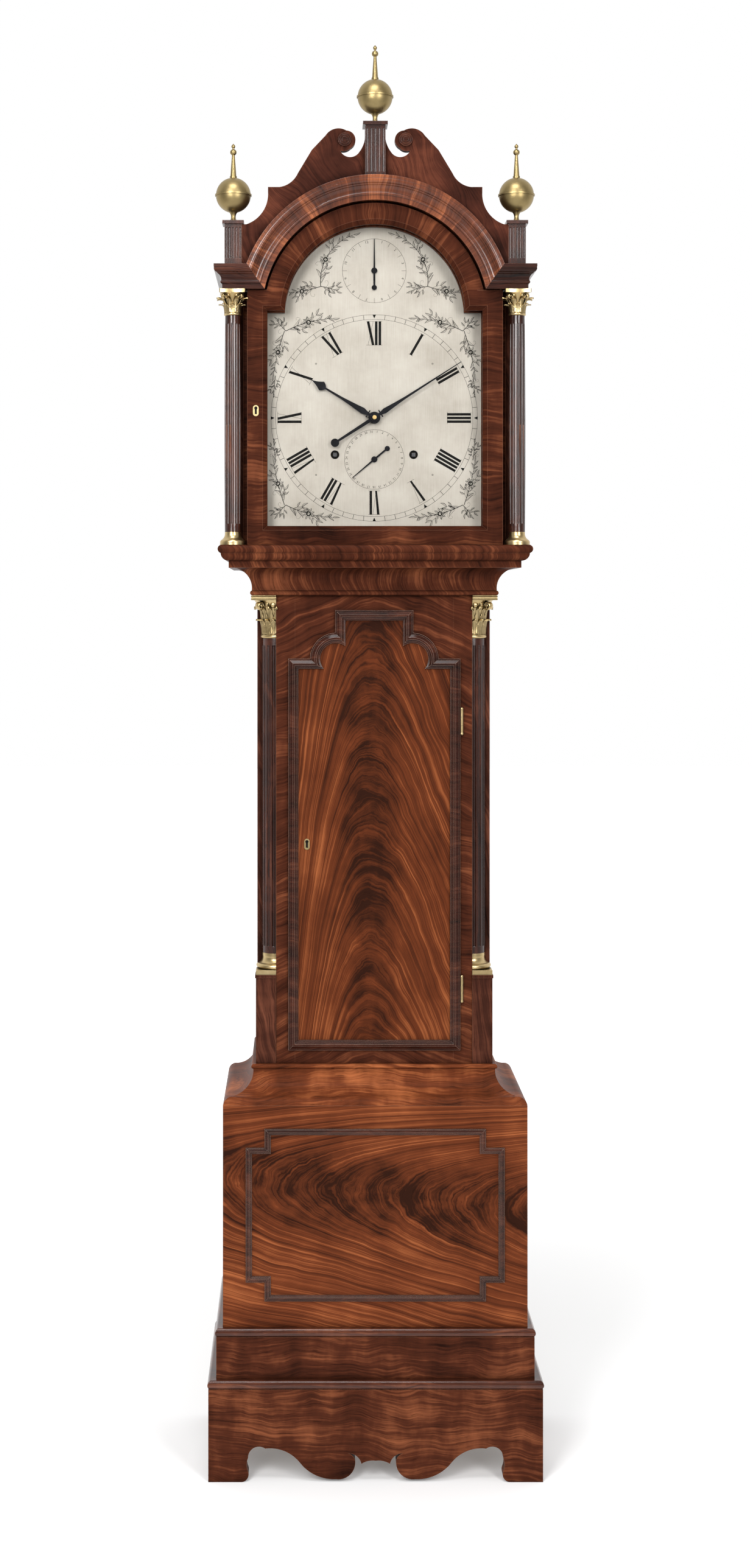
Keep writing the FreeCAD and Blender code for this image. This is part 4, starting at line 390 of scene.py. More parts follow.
# Some woods set their own painted shade in hollows (reach and depth) and their own painted edge highlight
# (colour and width).
woods = {
    "door": mahogany("mahogany_plume", "plume", warm, centre=-0.006, spread=0.115, rise=0.36, skew=0.40,
                     heart_depth=0.075, crimp=0.020),
    "base": mahogany("mahogany_swirl", "swirl", golden, centre=heart_height, spread=0.16, rise=0.60,
                     heart_depth=0.10, crimp=0.022),
    "frame": mahogany("mahogany_frame", "x", ruddy, sway=0.07, skew=0.35),
    "boards": mahogany("mahogany_boards", "x", ruddy, sway=0.08, smoky=0.20),
    "foot": mahogany("mahogany_foot", "x", golden, sway=0.09, smoky=0.20, edge_highlight=0.0008),
    # The throat's cove gets deep painted shade in its hollows.
    "throat": mahogany("mahogany_throat", "z", ruddy, sway=0.05, skew=0.6, smoky=0.12, shade=(0.05, 0.95)),
    "upright": mahogany("mahogany_upright", "z", deep, sway=0.07, skew=0.2),
    "pediment": mahogany("mahogany_pediment", "z", dusky, sway=0.12, skew=0.5, smoky=0.30),
    "arch": mahogany("mahogany_arch", "arch", shaded_red, centre=arch_centre, spread=arch_radius,
                     sway=0.07, smoky=0.10),
    "arch_moulding": mahogany("mahogany_arch_moulding", "arch", warm, centre=arch_centre,
                              spread=arch_radius, sway=0.06, gloss=0.50, edge_highlight=0.0005,
                              shade=(0.018, 0.92), polish=0.16),
    "roof": mahogany("mahogany_roof", "y", deep),
    "base_side": mahogany("mahogany_base_side", "z", ruddy, sway=0.08, skew=0.2),
    "strip": mahogany("mahogany_strip", "x", ruddy, sway=0.04, gloss=0.40, edge_highlight=0.0006, polish=0.12),
    "moulding": mahogany("mahogany_moulding", "x", dark_polish, gloss=0.22, edge_highlight=0.0005,
                         shade=(0.015, 0.90), polish=0.16),
    "bead": mahogany("mahogany_bead", "x", dark_polish, gloss=0.20, edge_highlight_colour=(0.46, 0.29, 0.22), edge_highlight=0.0008,
                     shade=(0.008, 0.97), polish=0.16),
    "column": mahogany("mahogany_column", "z", dark_polish, gloss=0.55, edge_highlight=0.0003,
                       shade=(0.006, 0.85), polish=0.17),
}
# Oak, with a pale painted highlight on its open edges.
oak = mahogany("oak", "z", oak_tones, edge_highlight_colour=(0.36, 0.26, 0.15))
# Bright brass gets strong painted shade, also standing for grime, in the hollows of its cast leaves.
brass_bright = brass("brass_bright", (0.66, 0.51, 0.27), (0.46, 0.33, 0.15), roughness=0.31, dirt_and_shade=0.92)
brass_aged = brass("brass_aged", (0.36, 0.275, 0.130), (0.29, 0.215, 0.095), roughness=0.40)
brass_plate = brass("brass_plate", (0.70, 0.50, 0.21), (0.48, 0.33, 0.13), roughness=0.34)
dial_silver = silvered("dial_silver")
engraving_ink = ink("engraving_ink")
hand_black = blued("hand_black")
square_steel = plain("square_steel", (0.030, 0.030, 0.032), roughness=0.4, scale=200.0)
glass_clear = clear_glass("glass_clear")
gut = plain("gut", (0.52, 0.36, 0.17), roughness=0.6, scale=300.0)
# Black sheets of painted shade for the keyholes and winding holes.
keyhole_black = ink("keyhole_black")

# Finishes of the nodes
finishes = {
    "door": "trunk_door_panel",
    "base": "base_front",
    "frame": "trunk_front_frame",
    "boards": "skirt_boards band_boards",
    "throat": "hood_base_frame throat_moulding",
    "foot": "trunk_foot_moulding",
    "arch": "dial_mask hood_door_frame",
    "arch_moulding": "hood_arch_moulding",
    "upright": "quarter_blocks hood_sides trunk_sides",
    "pediment": "hood_pediment",
    "roof": "hood_roof",
    "strip": "base_mouldings",
    "moulding": "hood_cornice pediment_roundels",
    "bead": "base_panel_moulding trunk_door_moulding",
    "column": "quarter_columns hood_columns finial_plinths",
}
materials = {}
for key, names in finishes.items():
    for name in names.split():
        materials[name] = woods[key]
for material, names in (
    (oak, "base_carcass backboard seatboard"),
    (brass_bright, "quarter_column_mounts hood_column_mounts trunk_door_escutcheon hood_door_escutcheon "
                   "trunk_hinge_leaves trunk_door_hinges hood_door_pivots"),
    (brass_aged, "finials weight_left weight_right pendulum"),
    (brass_plate, "movement_plates movement_pillars back_cock barrel_left barrel_right "
                  "great_wheel_left great_wheel_right second_wheel third_wheel centre_wheel "
                  "fourth_wheel escape_wheel minute_wheel"),
    (dial_silver, "dial_plate"),
    (hand_black, "minute_hand hour_hand date_hand month_hand pallets"),
    (glass_clear, "hood_door_glass"),
    (gut, "weight_lines line_ends"),
):
    for name in names.split():
        materials[name] = material
for name, material in materials.items():
    mesh = nodes[name].data
    mesh.materials.clear()
    mesh.materials.append(material)

# The squares that take the winding key are steel, in front of the movement's brass
plate_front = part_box("movement_plates")[0].y
for name in ("barrel_left", "barrel_right"):
    mesh = nodes[name].data
    mesh.materials.append(square_steel)
    for polygon in mesh.polygons:
        if polygon.center.y < plate_front:
            polygon.material_index = 1

# The base is veneered on its outer sides, over an oak carcass
carcass_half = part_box("base_carcass")[1].x
sideways, veneer_depth = 0.9, 0.5 * mm
mesh = nodes["base_carcass"].data
mesh.materials.append(woods["base_side"])
for polygon in mesh.polygons:
    if abs(polygon.normal.x) > sideways and abs(polygon.center.x) > carcass_half - veneer_depth:
        polygon.material_index = 1

# Meshes of the scene's own pieces
sides = ((-1, "left"), (1, "right"))


def piece(name, mesh, material, body):
    """A new mesh object that rides on a body of the clock."""
    thing = bpy.data.objects.new(name, mesh)
    scene.collection.objects.link(thing)
    mesh.materials.append(material)
    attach(thing, body)
    return thing


def made(name, work, smooth=False):
    """A mesh from what was drawn, flat or with smooth shading on all faces."""
    mesh = bpy.data.meshes.new(name)
    work.to_mesh(mesh)
    work.free()
    if smooth:
        for polygon in mesh.polygons:
            polygon.use_smooth = True
    return mesh


def skin(work, rows, closed=True):
    """Faces from each row of points to the next. Closed rows run round to their start."""
    for a, b in zip(rows, rows[1:]):
        count = len(a)
        for k in range(count if closed else count - 1):
            after = (k + 1) % count
            work.faces.new((a[k], a[after], b[after], b[k]))


# Engraving on the dial: flat strokes just proud of the silvered face
engraved_y = dial_front - 0.06 * mm
strokes = bmesh.new()


def stroke(points, start, end=None, bulge=None):
    """A flat ribbon through (x, z) points; its full width runs from start to end by way of bulge."""
    end = start if end is None else end
    count = len(points)
    rims = []
    for k, (px, pz) in enumerate(points):
        before = points[max(k - 1, 0)]
        after = points[min(k + 1, count - 1)]
        dx, dz = after[0] - before[0], after[1] - before[1]
        long = math.hypot(dx, dz) or 1.0
        share = k / (count - 1)
        width = start + (end - start) * share
        if bulge is not None:
            width = width + (bulge - width) * math.sin(math.pi * share)
        nx, nz = -dz / long * width / 2, dx / long * width / 2
        rims.append((strokes.verts.new((px + nx, engraved_y, pz + nz)),
                     strokes.verts.new((px - nx, engraved_y, pz - nz))))
    for (a, b), (c, d) in zip(rims, rims[1:]):
        strokes.faces.new((a, c, d, b))


def polar(centre, radius, angle):
    """A point at a clockwise angle from twelve o'clock."""
    return (radius * math.sin(angle), centre + radius * math.cos(angle))


def ring(centre, radius, width, parts=120):
    """A circle about a height on the dial's middle line."""
    stroke([polar(centre, radius, 2 * math.pi * k / parts) for k in range(parts + 1)], width)


def spokes(centre, inner, outer, count, width, skip=0):
    """Strokes between two circles; every one that skip divides is left out."""
    for k in range(count):
        if skip and k % skip == 0:
            continue
        angle = 2 * math.pi * k / count
        stroke([polar(centre, inner, angle), polar(centre, outer, angle)], width)


thick = 3.7 * mm
thin = 0.35 * mm
serif = 0.9 * mm
numeral_low = 107.6 * mm
numeral_high = 142.6 * mm
glyph_widths = {"I": 5.4 * mm, "V": 10.2 * mm, "X": 11.2 * mm}
numerals = ("XII", "I", "II", "III", "IIII", "V", "VI", "VII", "VIII", "IX", "X", "XI")


def numeral(text, angle):
    """A Roman numeral with its foot towards the dial's centre."""
    across = (math.cos(angle), -math.sin(angle))
    outward = (math.sin(angle), math.cos(angle))
    reach = sum(glyph_widths[letter] for letter in text) / 2
    cursor = -reach

    def at(u, height):
        return (outward[0] * height + across[0] * u, dial_centre + outward[1] * height + across[1] * u)

    for letter in text:
        width = glyph_widths[letter]
        left = cursor + thick / 2
        right = cursor + width - thick / 2
        middle = cursor + width / 2
        if letter == "I":
            stroke([at(middle, numeral_low), at(middle, numeral_high)], thick)
        elif letter == "V":
            stroke([at(left, numeral_high), at(middle, numeral_low)], thick, thick * 0.75)
            stroke([at(right + thick / 3, numeral_high), at(middle, numeral_low)], thin)
        else:
            stroke([at(left, numeral_high), at(right, numeral_low)], thick)
            stroke([at(right, numeral_high), at(left, numeral_low)], thin)
        cursor += width
    for height in (numeral_low, numeral_high):
        stroke([at(-reach - serif, height), at(reach + serif, height)], thin)


ring_outer = 152.5 * mm
ring_inner = 145.6 * mm
hairline = 0.40 * mm
ring(dial_centre, ring_outer, hairline)
ring(dial_centre, ring_inner, hairline)
minutes = 60
minute_width = 0.60 * mm
marker_width = 5.0 * mm
marker_point = 0.1 * mm
marker_gap = 1.5 * mm
spokes(dial_centre, ring_inner, ring_outer, minutes, minute_width, minutes // len(numerals))
for k, text in enumerate(numerals):
    angle = 2 * math.pi * k / len(numerals)
    marker = [polar(dial_centre, radius, angle) for radius in (ring_outer, ring_inner + marker_gap)]
    stroke(marker, marker_width, marker_point)
    numeral(text, angle)
date_radius = 44.1 * mm
month_radius = 47.1 * mm
month_mark = 6.8 * mm
days, months = 31, 12
ring(date_centre, date_radius, hairline)
ring(month_centre, month_radius, hairline)
spokes(month_centre, month_radius - month_mark, month_radius, months, hairline)

# The riveted ends of the dial's four feet
rivet_x, rivet_above, rivet_below = 86 * mm, 80 * mm, -84 * mm
rivet_radius, rivet_slot, rivet_line = 1.1 * mm, 0.8 * mm, 0.4 * mm
rivet_parts = 12
for rise in (rivet_above, rivet_below):
    for side in (-1, 1):
        px, pz = side * rivet_x, dial_centre + rise
        rim = []
        for k in range(rivet_parts + 1):
            angle = 2 * math.pi * k / rivet_parts
            rim.append((px + rivet_radius * math.cos(angle), pz + rivet_radius * math.sin(angle)))
        stroke(rim, rivet_line)
        stroke([(px - rivet_slot, pz), (px + rivet_slot, pz)], rivet_line)

# Leaf sprays in the corners and the arch


def curve_points(start, heading, length, bend, parts):
    """Points along an arc that starts at a heading and turns by bend radians."""
    points = [start]
    x, z = start
    for k in range(parts):
        angle = heading + bend * (k + 0.5) / parts
        x += length / parts * math.cos(angle)
        z += length / parts * math.sin(angle)
        points.append((x, z))
    return points


def leaf(base, heading, length, plump, curl=0.0):
    """An engraved leaf: two bowed edges, a midrib that curls and a few shading cuts on one side."""
    fine = 0.30 * mm
    along = (math.cos(heading), math.sin(heading))
    across = (-along[1], along[0])

    def spot(share, side):
        swell = math.sin(math.pi * share ** 0.75) * plump * side + curl * math.sin(math.pi * share)
        return (base[0] + length * (along[0] * share + across[0] * swell),
                base[1] + length * (along[1] * share + across[1] * swell))

    steps = 12
    shares = [k / steps for k in range(steps + 1)]
    for side, bulge in ((1, 1.4), (-1, 2.4)):
        stroke([spot(share, side) for share in shares], fine * 0.9, fine * 0.6, fine * bulge)
    stroke([spot(share, 0) for share in shares], fine, fine * 0.4)
    for k in range(2, steps - 1, 2):
        stroke([spot(shares[k], 0), spot(shares[k + 1], -1)], fine * 0.9, fine * 0.3)


def flower(x, z, size):
    """A small open flower: a pale eye in a dark ring, and eight pointed petals."""
    eye_parts, petals, tilt = 20, 8, 0.3
    eye_share, root_share, petal_share = 0.42, 0.50, 0.95
    eye_line, petal_plump = 1.7 * mm, 0.20
    eye = []
    for k in range(eye_parts + 1):
        angle = 2 * math.pi * k / eye_parts
        eye.append((x + size * eye_share * math.cos(angle), z + size * eye_share * math.sin(angle)))
    stroke(eye, eye_line)
    for k in range(petals):
        angle = 2 * math.pi * k / petals + tilt
        root = (x + size * root_share * math.cos(angle), z + size * root_share * math.sin(angle))
        leaf(root, angle, size * petal_share, petal_plump)


def tendril(start, heading, length, bend):
    """A hairline that curls up at its end."""
    parts = 22
    root_width, tip_width = 0.30 * mm, 0.22 * mm
    points = [start]
    x, z = start
    for k in range(parts):
        share = (k + 0.5) / parts
        angle = heading + bend * share ** 2
        step = length / parts * (1.3 - 0.6 * share)
        x += step * math.cos(angle)
        z += step * math.sin(angle)
        points.append((x, z))
    stroke(points, root_width, tip_width)


def sprig(start, heading, length, bend, leaves, blooms=(), size=1.0):
    """A stem with alternate leaves, side twigs, and flowers at shares of its length."""
    parts, twig_parts = 24, 8
    stem_width, stem_tip = 0.95 * mm, 0.35 * mm
    twig_width, twig_tip = 0.45 * mm, 0.25 * mm
    longest, shortest, slim = 17.0 * mm, 9.5 * mm, 0.105
    leaf_turn, partner_turn, partner_share = 0.55, 0.85, 0.75
    twig_length, twig_turn, twig_bend, twig_fork = 13 * mm * size, 0.85, 0.5, 0.4
    tip_length, twig_leaf, tip_plump, twig_plump = 11 * mm * size, 9 * mm * size, 0.11, 0.12
    leaf_curl, tip_curl = 0.10, 0.08
    bloom_size, bloom_room = 6.4 * mm * size, 0.07
    points = curve_points(start, heading, length, bend, parts)
    stroke(points, stem_width, stem_tip)
    turn = 1 if bend > 0 else -1
    for k in range(leaves):
        share = (k + 1) / (leaves + 0.6)
        if any(abs(share - bloom) < bloom_room for bloom in blooms):
            continue
        spot = points[min(int(share * parts), parts - 1)]
        way = heading + bend * share
        side = 1 if k % 2 else -1
        grow = size * (longest + (shortest - longest) * share)
        leaf(spot, way + side * leaf_turn, grow, slim, -side * leaf_curl)
        if k % 3 == 1:
            leaf(spot, way - side * partner_turn, grow * partner_share, tip_plump, side * leaf_curl)
    for share, side in ((0.18, turn), (0.55, -turn)):
        way = heading + bend * share
        fork = points[int(share * parts)]
        twig = curve_points(fork, way + side * twig_turn, twig_length, -side * twig_bend, twig_parts)
        stroke(twig, twig_width, twig_tip)
        for spread in (-twig_fork, twig_fork):
            leaf(twig[-1], way + side * twig_bend + spread, tip_length, tip_plump, 0.25 * spread)
        leaf(twig[twig_parts // 2], way + side * 1.4, twig_leaf, twig_plump, side * leaf_curl)
    tendril(points[parts // 3], heading + bend * 0.3 - turn * 1.1, 20 * mm * size, -turn * 5.0)
    leaf(points[-1], heading + bend, tip_length, tip_plump, turn * tip_curl)
    for share in blooms:
        flower(*points[min(int(share * parts), parts - 1)], bloom_size)


def mirrored_sprig(start, heading, length, bend, leaves, blooms=(), size=1.0):
    """The same sprig on the right and left of the dial. The heading is in degrees."""
    heading = math.radians(heading)
    sprig(start, heading, length, bend, leaves, blooms, size)
    sprig((-start[0], start[1]), math.pi - heading, length, -bend, leaves, blooms, size)


corner = dial_half - 17.5 * mm
for way in (1, -1):
    fork = (corner - 17 * mm, dial_centre + way * (corner - 19 * mm))
    side_fork = (fork[0] + 2 * mm, fork[1])
    side_tip = (fork[0] + 15 * mm, fork[1] - way * 66 * mm)
    mirrored_sprig(fork, way * 43, 18 * mm, way * 0.2, 3, size=0.8)
    mirrored_sprig(fork, 180 - way * 27, 72 * mm, way * 0.42, 11, (0.50,))
    mirrored_sprig(side_fork, -way * 70, 66 * mm, -way * 0.20, 9, (0.52,), size=0.95)
    mirrored_sprig(side_tip, -way * 80, 26 * mm, -way * 0.12, 3, size=0.62)
arch_fork = (79 * mm, month_centre - 23 * mm)
mirrored_sprig(arch_fork, 188, 24 * mm, 0.25, 4, size=0.85)
mirrored_sprig(arch_fork, -20, 46 * mm, 0.30, 6, (0.66,), size=0.95)
mirrored_sprig(arch_fork, 84, 98 * mm, 1.35, 13, (0.42,), size=0.95)

piece("dial_engraving", made("dial_engraving", strokes), engraving_ink, "case")


def number_ring(name, centre, radius, count, size):
    """Small engraved numbers from 1 to count round a ring, their feet towards its centre."""
    whole = bmesh.new()
    for k in range(count):
        words = bpy.data.curves.new(name + str(k), "FONT")
        words.body = str(k + 1)
        words.size = size
        words.align_x = "CENTER"
        words.align_y = "CENTER"
        holder = bpy.data.objects.new(name + str(k), words)
        scene.collection.objects.link(holder)
        bpy.context.view_layer.update()
        flat = bpy.data.meshes.new_from_object(holder)
        bpy.data.objects.remove(holder)
        angle = 2 * math.pi * (k + 0.5) / count
        x, z = polar(centre, radius, angle)
        upright = Matrix.Rotation(angle, 4, "Y") @ Matrix.Rotation(math.pi / 2, 4, "X")
        flat.transform(Matrix.Translation((x, engraved_y, z)) @ upright)
        whole.from_mesh(flat)
        bpy.data.meshes.remove(flat)
    piece(name, made(name, whole), engraving_ink, "case")


date_size, date_inset = 4.6 * mm, 3.2 * mm
month_size, month_inset = 5.4 * mm, 3.6 * mm
number_ring("date_numbers", date_centre, date_radius - date_inset, days, date_size)
number_ring("month_numbers", month_centre, month_radius - month_inset, months, month_size)

# Cast leaves and scrolls on the capitals


def acanthus(work, axis, angle, foot, height, inner, flare, width, curl):
    """One cast leaf round an axis at (x, y): it hugs the bell, spreads in lobes and leans out."""
    rows, columns = 22, 10
    lean_start = 0.74
    ax, ay = axis
    grid = []
    for i in range(rows + 1):
        t = i / rows
        lobes = 0.66 + 0.34 * abs(math.sin(4.5 * math.pi * t)) ** 0.7
        half = width / 2 * lobes * (1 - 0.88 * t ** 5)
        radius = inner + flare * 0.5 * t ** 2.2
        z = foot + height * t
        if t > lean_start:
            over = (t - lean_start) / (1 - lean_start)
            radius += flare * curl * 0.8 * math.sin(over * math.pi * 0.5) ** 1.5
            z -= height * 0.20 * over ** 2.2
        line = []
        for j in range(columns + 1):
            s = 2 * j / columns - 1
            turn = angle + half * s / radius
            rib = 0.13 * width * (1 - abs(s)) + 0.030 * width * math.cos(5 * math.pi * s)
            r = radius + rib * (1 - 0.7 * t ** 3)
            dip = 0.07 * height * s * s
            line.append(work.verts.new((ax + r * math.cos(turn), ay + r * math.sin(turn), z - dip)))
        grid.append(line)
    skin(work, grid, closed=False)


def bead(work, points, radius, around=8):
    """A thin round moulding along points."""
    rims = []
    for k, point in enumerate(points):
        before = Vector(points[max(k - 1, 0)])
        after = Vector(points[min(k + 1, len(points) - 1)])
        way = (after - before).normalized()
        up = Vector((0, 0, 1))
        side = way.cross(up).normalized()
        widen = 1.0
        if 0 < k < len(points) - 1:
            widen = 1 / max(way.dot((after - Vector(point)).normalized()), 0.5)
        rim = []
        for j in range(around):
            angle = 2 * math.pi * j / around
            offset = side * (radius * widen * math.cos(angle)) + up * (radius * math.sin(angle))
            rim.append(work.verts.new(Vector(point) + offset))
        rims.append(rim)
    skin(work, rims)
    work.faces.new(rims[0])
    work.faces.new(rims[-1][::-1])


def scroll(work, axis, angle, reach, height, radius, thickness):
    """A volute under a corner of the abacus: a tapering ribbon rolled up in a vertical plane."""
    steps = 34
    ax, ay = axis
    out_x, out_y = math.cos(angle), math.sin(angle)
    rows = []
    for k in range(steps + 1):
        t = k / steps
        sweep = math.pi * 0.5 + t * math.pi * 3.6
        half = thickness * (0.5 + 0.25 * t)
        line = []
        for s in (-1, -0.5, 0.5, 1):
            bulge = 0.16 * radius * (1 - s * s) * (1 - 0.5 * t)
            r = radius * (1 - 0.86 * t) + bulge
            distance = reach + r * math.cos(sweep)
            z = height + r * math.sin(sweep)
            line.append(work.verts.new((ax + out_x * distance - out_y * half * s,
                                        ay + out_y * distance + out_x * half * s, z)))
        rows.append(line)
    skin(work, rows, closed=False)


def solid(work, name, thickness, body):
    """A brass piece from open leaves, thickened and smoothed."""
    bmesh.ops.recalc_face_normals(work, faces=work.faces)
    thing = piece(name, made(name, work, smooth=True), brass_bright, body)
    shell = thing.modifiers.new("shell", "SOLIDIFY")
    shell.thickness = thickness
    shell.offset = 0


abacus_height, abacus_half = 5.5 * mm, 19.0 * mm
mount_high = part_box("hood_column_mounts")[1]
column_low, column_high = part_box("hood_columns")
capital_foot = column_high.z
capital_top = mount_high.z - abacus_height
capital_rise = capital_top - capital_foot
column_x = mount_high.x - abacus_half
column_y = (column_low.y + column_high.y) / 2
eighth = math.pi / 4
hood_leaf, quarter_leaf = 0.7 * mm, 1.0 * mm
for sign, side in sides:
    axis = (sign * column_x, column_y)
    leaves = bmesh.new()
    for k in range(8):
        acanthus(leaves, axis, eighth * k, capital_foot + 3.5 * mm, capital_rise * 0.50,
                 inner=10.6 * mm, flare=8 * mm, width=8.6 * mm, curl=0.85)
    for k in range(8):
        acanthus(leaves, axis, eighth * (k + 0.5), capital_foot + 4 * mm, capital_rise * 0.82,
                 inner=10.8 * mm, flare=12 * mm, width=8.2 * mm, curl=0.80)
    for k in range(4):
        angle = eighth * (2 * k + 1)
        scroll(leaves, axis, angle, reach=17.6 * mm, height=capital_top - 4.6 * mm,
               radius=4.8 * mm, thickness=4.4 * mm)
        for turn in (-0.42, 0.42):
            scroll(leaves, axis, angle + eighth + turn, reach=14.2 * mm, height=capital_top - 3.6 * mm,
                   radius=3.2 * mm, thickness=3.0 * mm)
    solid(leaves, "hood_capital_leaves_" + side, hood_leaf, "hood")

quarter_abacus, quarter_radius = 7.0 * mm, 21.0 * mm
quarter_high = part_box("quarter_columns")[1]
quarter_mount_low, quarter_mount_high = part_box("quarter_column_mounts")
quarter_x = quarter_high.x - quarter_radius
quarter_y = quarter_high.y
quarter_foot = quarter_high.z
quarter_top = quarter_mount_high.z - quarter_abacus
quarter_rise = quarter_top - quarter_foot
bead_radius, bead_inset = 1.0 * mm, 0.5 * mm
bead_drops = (1.6 * mm, 5.6 * mm)
for sign, side in sides:
    axis = (sign * quarter_x, quarter_y)
    middle = math.radians(-45 if sign > 0 else -135)
    leaves = bmesh.new()
    for turn in (-36, -12, 12, 36):
        acanthus(leaves, axis, middle + math.radians(turn), quarter_foot + 5 * mm, quarter_rise * 0.50,
                 inner=20.6 * mm, flare=10 * mm, width=9.6 * mm, curl=0.55)
    for turn in (-46, -24, 0, 24, 46):
        acanthus(leaves, axis, middle + math.radians(turn), quarter_foot + 6 * mm, quarter_rise * 0.88,
                 inner=20.9 * mm, flare=12 * mm, width=9.0 * mm, curl=0.60)
    scroll(leaves, axis, middle, reach=34 * mm, height=quarter_top - 7.5 * mm,
           radius=7.6 * mm, thickness=7.0 * mm)
    for turn in (-36, 36):
        scroll(leaves, axis, middle + math.radians(turn), reach=26.5 * mm, height=quarter_top - 6 * mm,
               radius=5.6 * mm, thickness=5.0 * mm)
    for turn in (-17, 17):
        scroll(leaves, axis, middle + math.radians(turn), reach=27.5 * mm, height=quarter_top - 5 * mm,
               radius=4.4 * mm, thickness=4.0 * mm)
    solid(leaves, "quarter_capital_leaves_" + side, quarter_leaf, "case")
    beads = bmesh.new()
    front = quarter_mount_low.y + bead_inset
    outer = sign * (quarter_mount_high.x - bead_inset)
    for drop in bead_drops:
        z = quarter_mount_high.z - drop
        corners = [(sign * quarter_x, front, z), (outer, front, z), (outer, quarter_y, z)]
        bead(beads, corners, bead_radius)
    name = "quarter_abacus_beads_" + side
    piece(name, made(name, beads, smooth=True), brass_bright, "case")

# The falls of gut, each pair between the seatboard and its weight
line_low, line_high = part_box("weight_lines")
line_y = (line_low.y + line_high.y) / 2
line_radius = (line_high.y - line_low.y) / 2
line_steps, line_around = 90, 12
drum_x, drum_z = pivots["barrel_turn_right"][0], pivots["barrel_turn_right"][2]
line_reach = line_high.x - line_radius - drum_x
for sign, side in sides:
    falls = bmesh.new()
    for way in (-1, 1):
        line_x = sign * drum_x + way * line_reach
        rims = []
        for k in range(line_steps + 1):
            z = line_low.z + (line_high.z - line_low.z) * k / line_steps
            rim = []
            for j in range(line_around):
                angle = 2 * math.pi * j / line_around
                strand = line_radius * (0.86 + 0.12 * math.cos(3 * angle + 0.9 * k))
                rim.append(falls.verts.new((line_x + strand * math.cos(angle),
                                            line_y + strand * math.sin(angle), z)))
            rims.append(rim)
        skin(falls, rims)
        falls.faces.new(rims[0][::-1])
        falls.faces.new(rims[-1])
    mesh = made("weight_gut_" + side, falls, smooth=True)
    thing = bpy.data.objects.new("weight_gut_" + side, mesh)
    scene.collection.objects.link(thing)
    mesh.materials.append(gut)
    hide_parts("weight_lines")
    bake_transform(thing)

# Darkness round the winding squares, just inside the back of the dial
shadow = bmesh.new()
shadow_parts = 32
shadow_outer, shadow_inner, shadow_inset = 6.2 * mm, 4.2 * mm, 0.4 * mm
shadow_y = dial_high.y - shadow_inset
for sign in (-1, 1):
    rims = []
    for radius in (shadow_outer, shadow_inner):
        rim = []
        for k in range(shadow_parts):
            angle = 2 * math.pi * k / shadow_parts
            rim.append(shadow.verts.new((sign * drum_x + radius * math.cos(angle), shadow_y,
                                         drum_z + radius * math.sin(angle))))
        rims.append(rim)
    skin(shadow, rims)
piece("winding_hole_shade", made("winding_hole_shade", shadow), keyhole_black, "case")

# Keyholes at the back of the keyhole plates, drawn as black sheets of painted shade: a round head on a
# straight slot
head_radius, head_parts = 2.4 * mm, 16
slot_half, slot_drop = 1.5 * mm, 1.4 * mm
plate_margin, hole_inset = 4.2 * mm, 0.25 * mm
for name, body in (("trunk_door_escutcheon", "trunk_door"), ("hood_door_escutcheon", "hood_door")):
    low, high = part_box(name)
    x = (low.x + high.x) / 2
    y = high.y - hole_inset
    z = (low.z + high.z) / 2
    straight = (high.z - low.z) / 2 - plate_margin
    outline = []
    for k in range(head_parts + 1):
        angle = math.radians(-45 + 270 * k / head_parts)
        outline.append((x + head_radius * math.cos(angle), y,
                        z + straight + head_radius * math.sin(angle)))
    for way in (-1, 1):
        outline.append((x + way * slot_half, y, z - straight - slot_drop))
    hole = bmesh.new()
    hole.faces.new([hole.verts.new(point) for point in outline])
    piece(name + "_hole", made(name + "_hole", hole), keyhole_black, body)

# A pale floor that is greyer near the camera and glows into the backdrop behind the clock
floor_reach = 14.0
floor_near, floor_far = (0.55, 0.55, 0.55), (0.80, 0.80, 0.80)
floor_glow, horizon_glow = 0.16, 0.45
floor_tree = Tree("floor_pale")
floor_y = floor_tree.split(floor_tree.place())[1]
under = floor_tree.stretch(floor_y, low=-1.1, high=-0.45)
behind = floor_tree.stretch(floor_y, low=0.2, high=2.2, top=horizon_glow)
floor_tree.put("Base Color", floor_tree.ramp(under, ((0.0, floor_near), (1.0, floor_far))))
floor_tree.put("Roughness", 0.7)
floor_tree.put("Specular IOR Level", 0.1)
floor_tree.put("Emission Color", (1.0, 1.0, 1.0))
floor_tree.put("Emission Strength", floor_tree.plus(floor_tree.times(under, floor_glow), behind))
floor_mesh = bpy.data.meshes.new("floor")
corners = [(x * floor_reach, y * floor_reach, 0) for x, y in ((-1, -1), (1, -1), (1, 1), (-1, 1))]
floor_mesh.from_pydata(corners, [], [(0, 1, 2, 3)])
floor = bpy.data.objects.new("floor", floor_mesh)
floor_mesh.materials.append(floor_tree.material)
scene.collection.objects.link(floor)

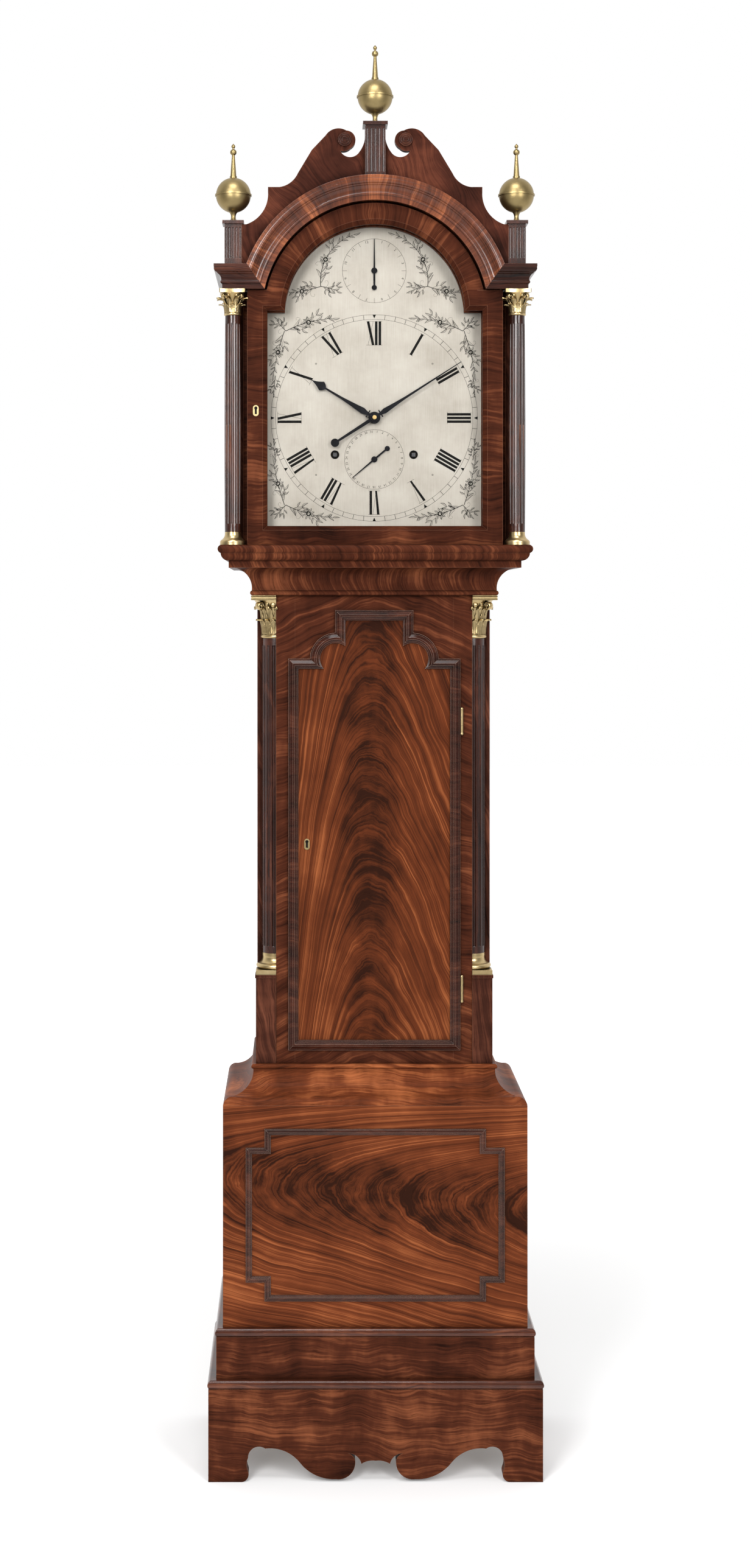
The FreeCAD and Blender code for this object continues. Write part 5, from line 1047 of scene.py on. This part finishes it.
# A white backdrop behind the clock and a dim room in front of it
world = bpy.data.worlds.new("studio")
scene.world = world
world.use_nodes = True
world_nodes = world.node_tree.nodes
world_links = world.node_tree.links
way = world_nodes.new("ShaderNodeSeparateXYZ")
world_links.new(world_nodes.new("ShaderNodeTexCoord").outputs["Generated"], way.inputs[0])
backdrop = world_nodes.new("ShaderNodeMapRange")
for key, value in (("From Min", -0.45), ("From Max", 0.25), ("To Min", 0.20), ("To Max", 1.0)):
    backdrop.inputs[key].default_value = value
world_links.new(way.outputs[1], backdrop.inputs["Value"])
world_links.new(backdrop.outputs[0], world_nodes["Background"].inputs["Strength"])
world_nodes["Background"].inputs[0].default_value = (1.0, 1.0, 1.0, 1.0)
scene.view_settings.view_transform = "Standard"

# Lights and camera


def area_light(name, place, target, size, power):
    """A white lamp that is turned to a target."""
    lamp = bpy.data.lights.new(name, "AREA")
    lamp.shape = "RECTANGLE"
    lamp.size, lamp.size_y = size
    lamp.energy = power
    holder = bpy.data.objects.new(name, lamp)
    holder.location = place
    holder.rotation_euler = (Vector(target) - Vector(place)).to_track_quat("-Z", "Y").to_euler()
    scene.collection.objects.link(holder)


area_light("key", place=(-1.15, -3.0, 2.3), target=(0, 0, 1.15), size=(0.9, 1.7), power=84)
area_light("fill", place=(1.35, -2.9, 2.1), target=(0, 0, 1.1), size=(0.8, 1.7), power=58)
area_light("top", place=(-0.2, -1.5, 3.7), target=(0, 0, 1.4), size=(1.2, 0.8), power=38)

photo_height = 2576
focal_pixels = 3600
camera_x, camera_height, camera_distance = -0.103, 1.264, 3.240
camera_data = bpy.data.cameras.new("camera")
camera_data.sensor_width = 36.0
camera_data.lens = camera_data.sensor_width * focal_pixels / photo_height
camera_data.shift_x = 0.0456
camera_data.shift_y = -0.1118
camera_data.clip_end = 60.0
camera = bpy.data.objects.new("camera", camera_data)
camera.location = (camera_x, trunk_front - camera_distance, camera_height)
camera.rotation_euler = (math.pi / 2, 0.0, 0.0)
scene.collection.objects.link(camera)
scene.camera = camera
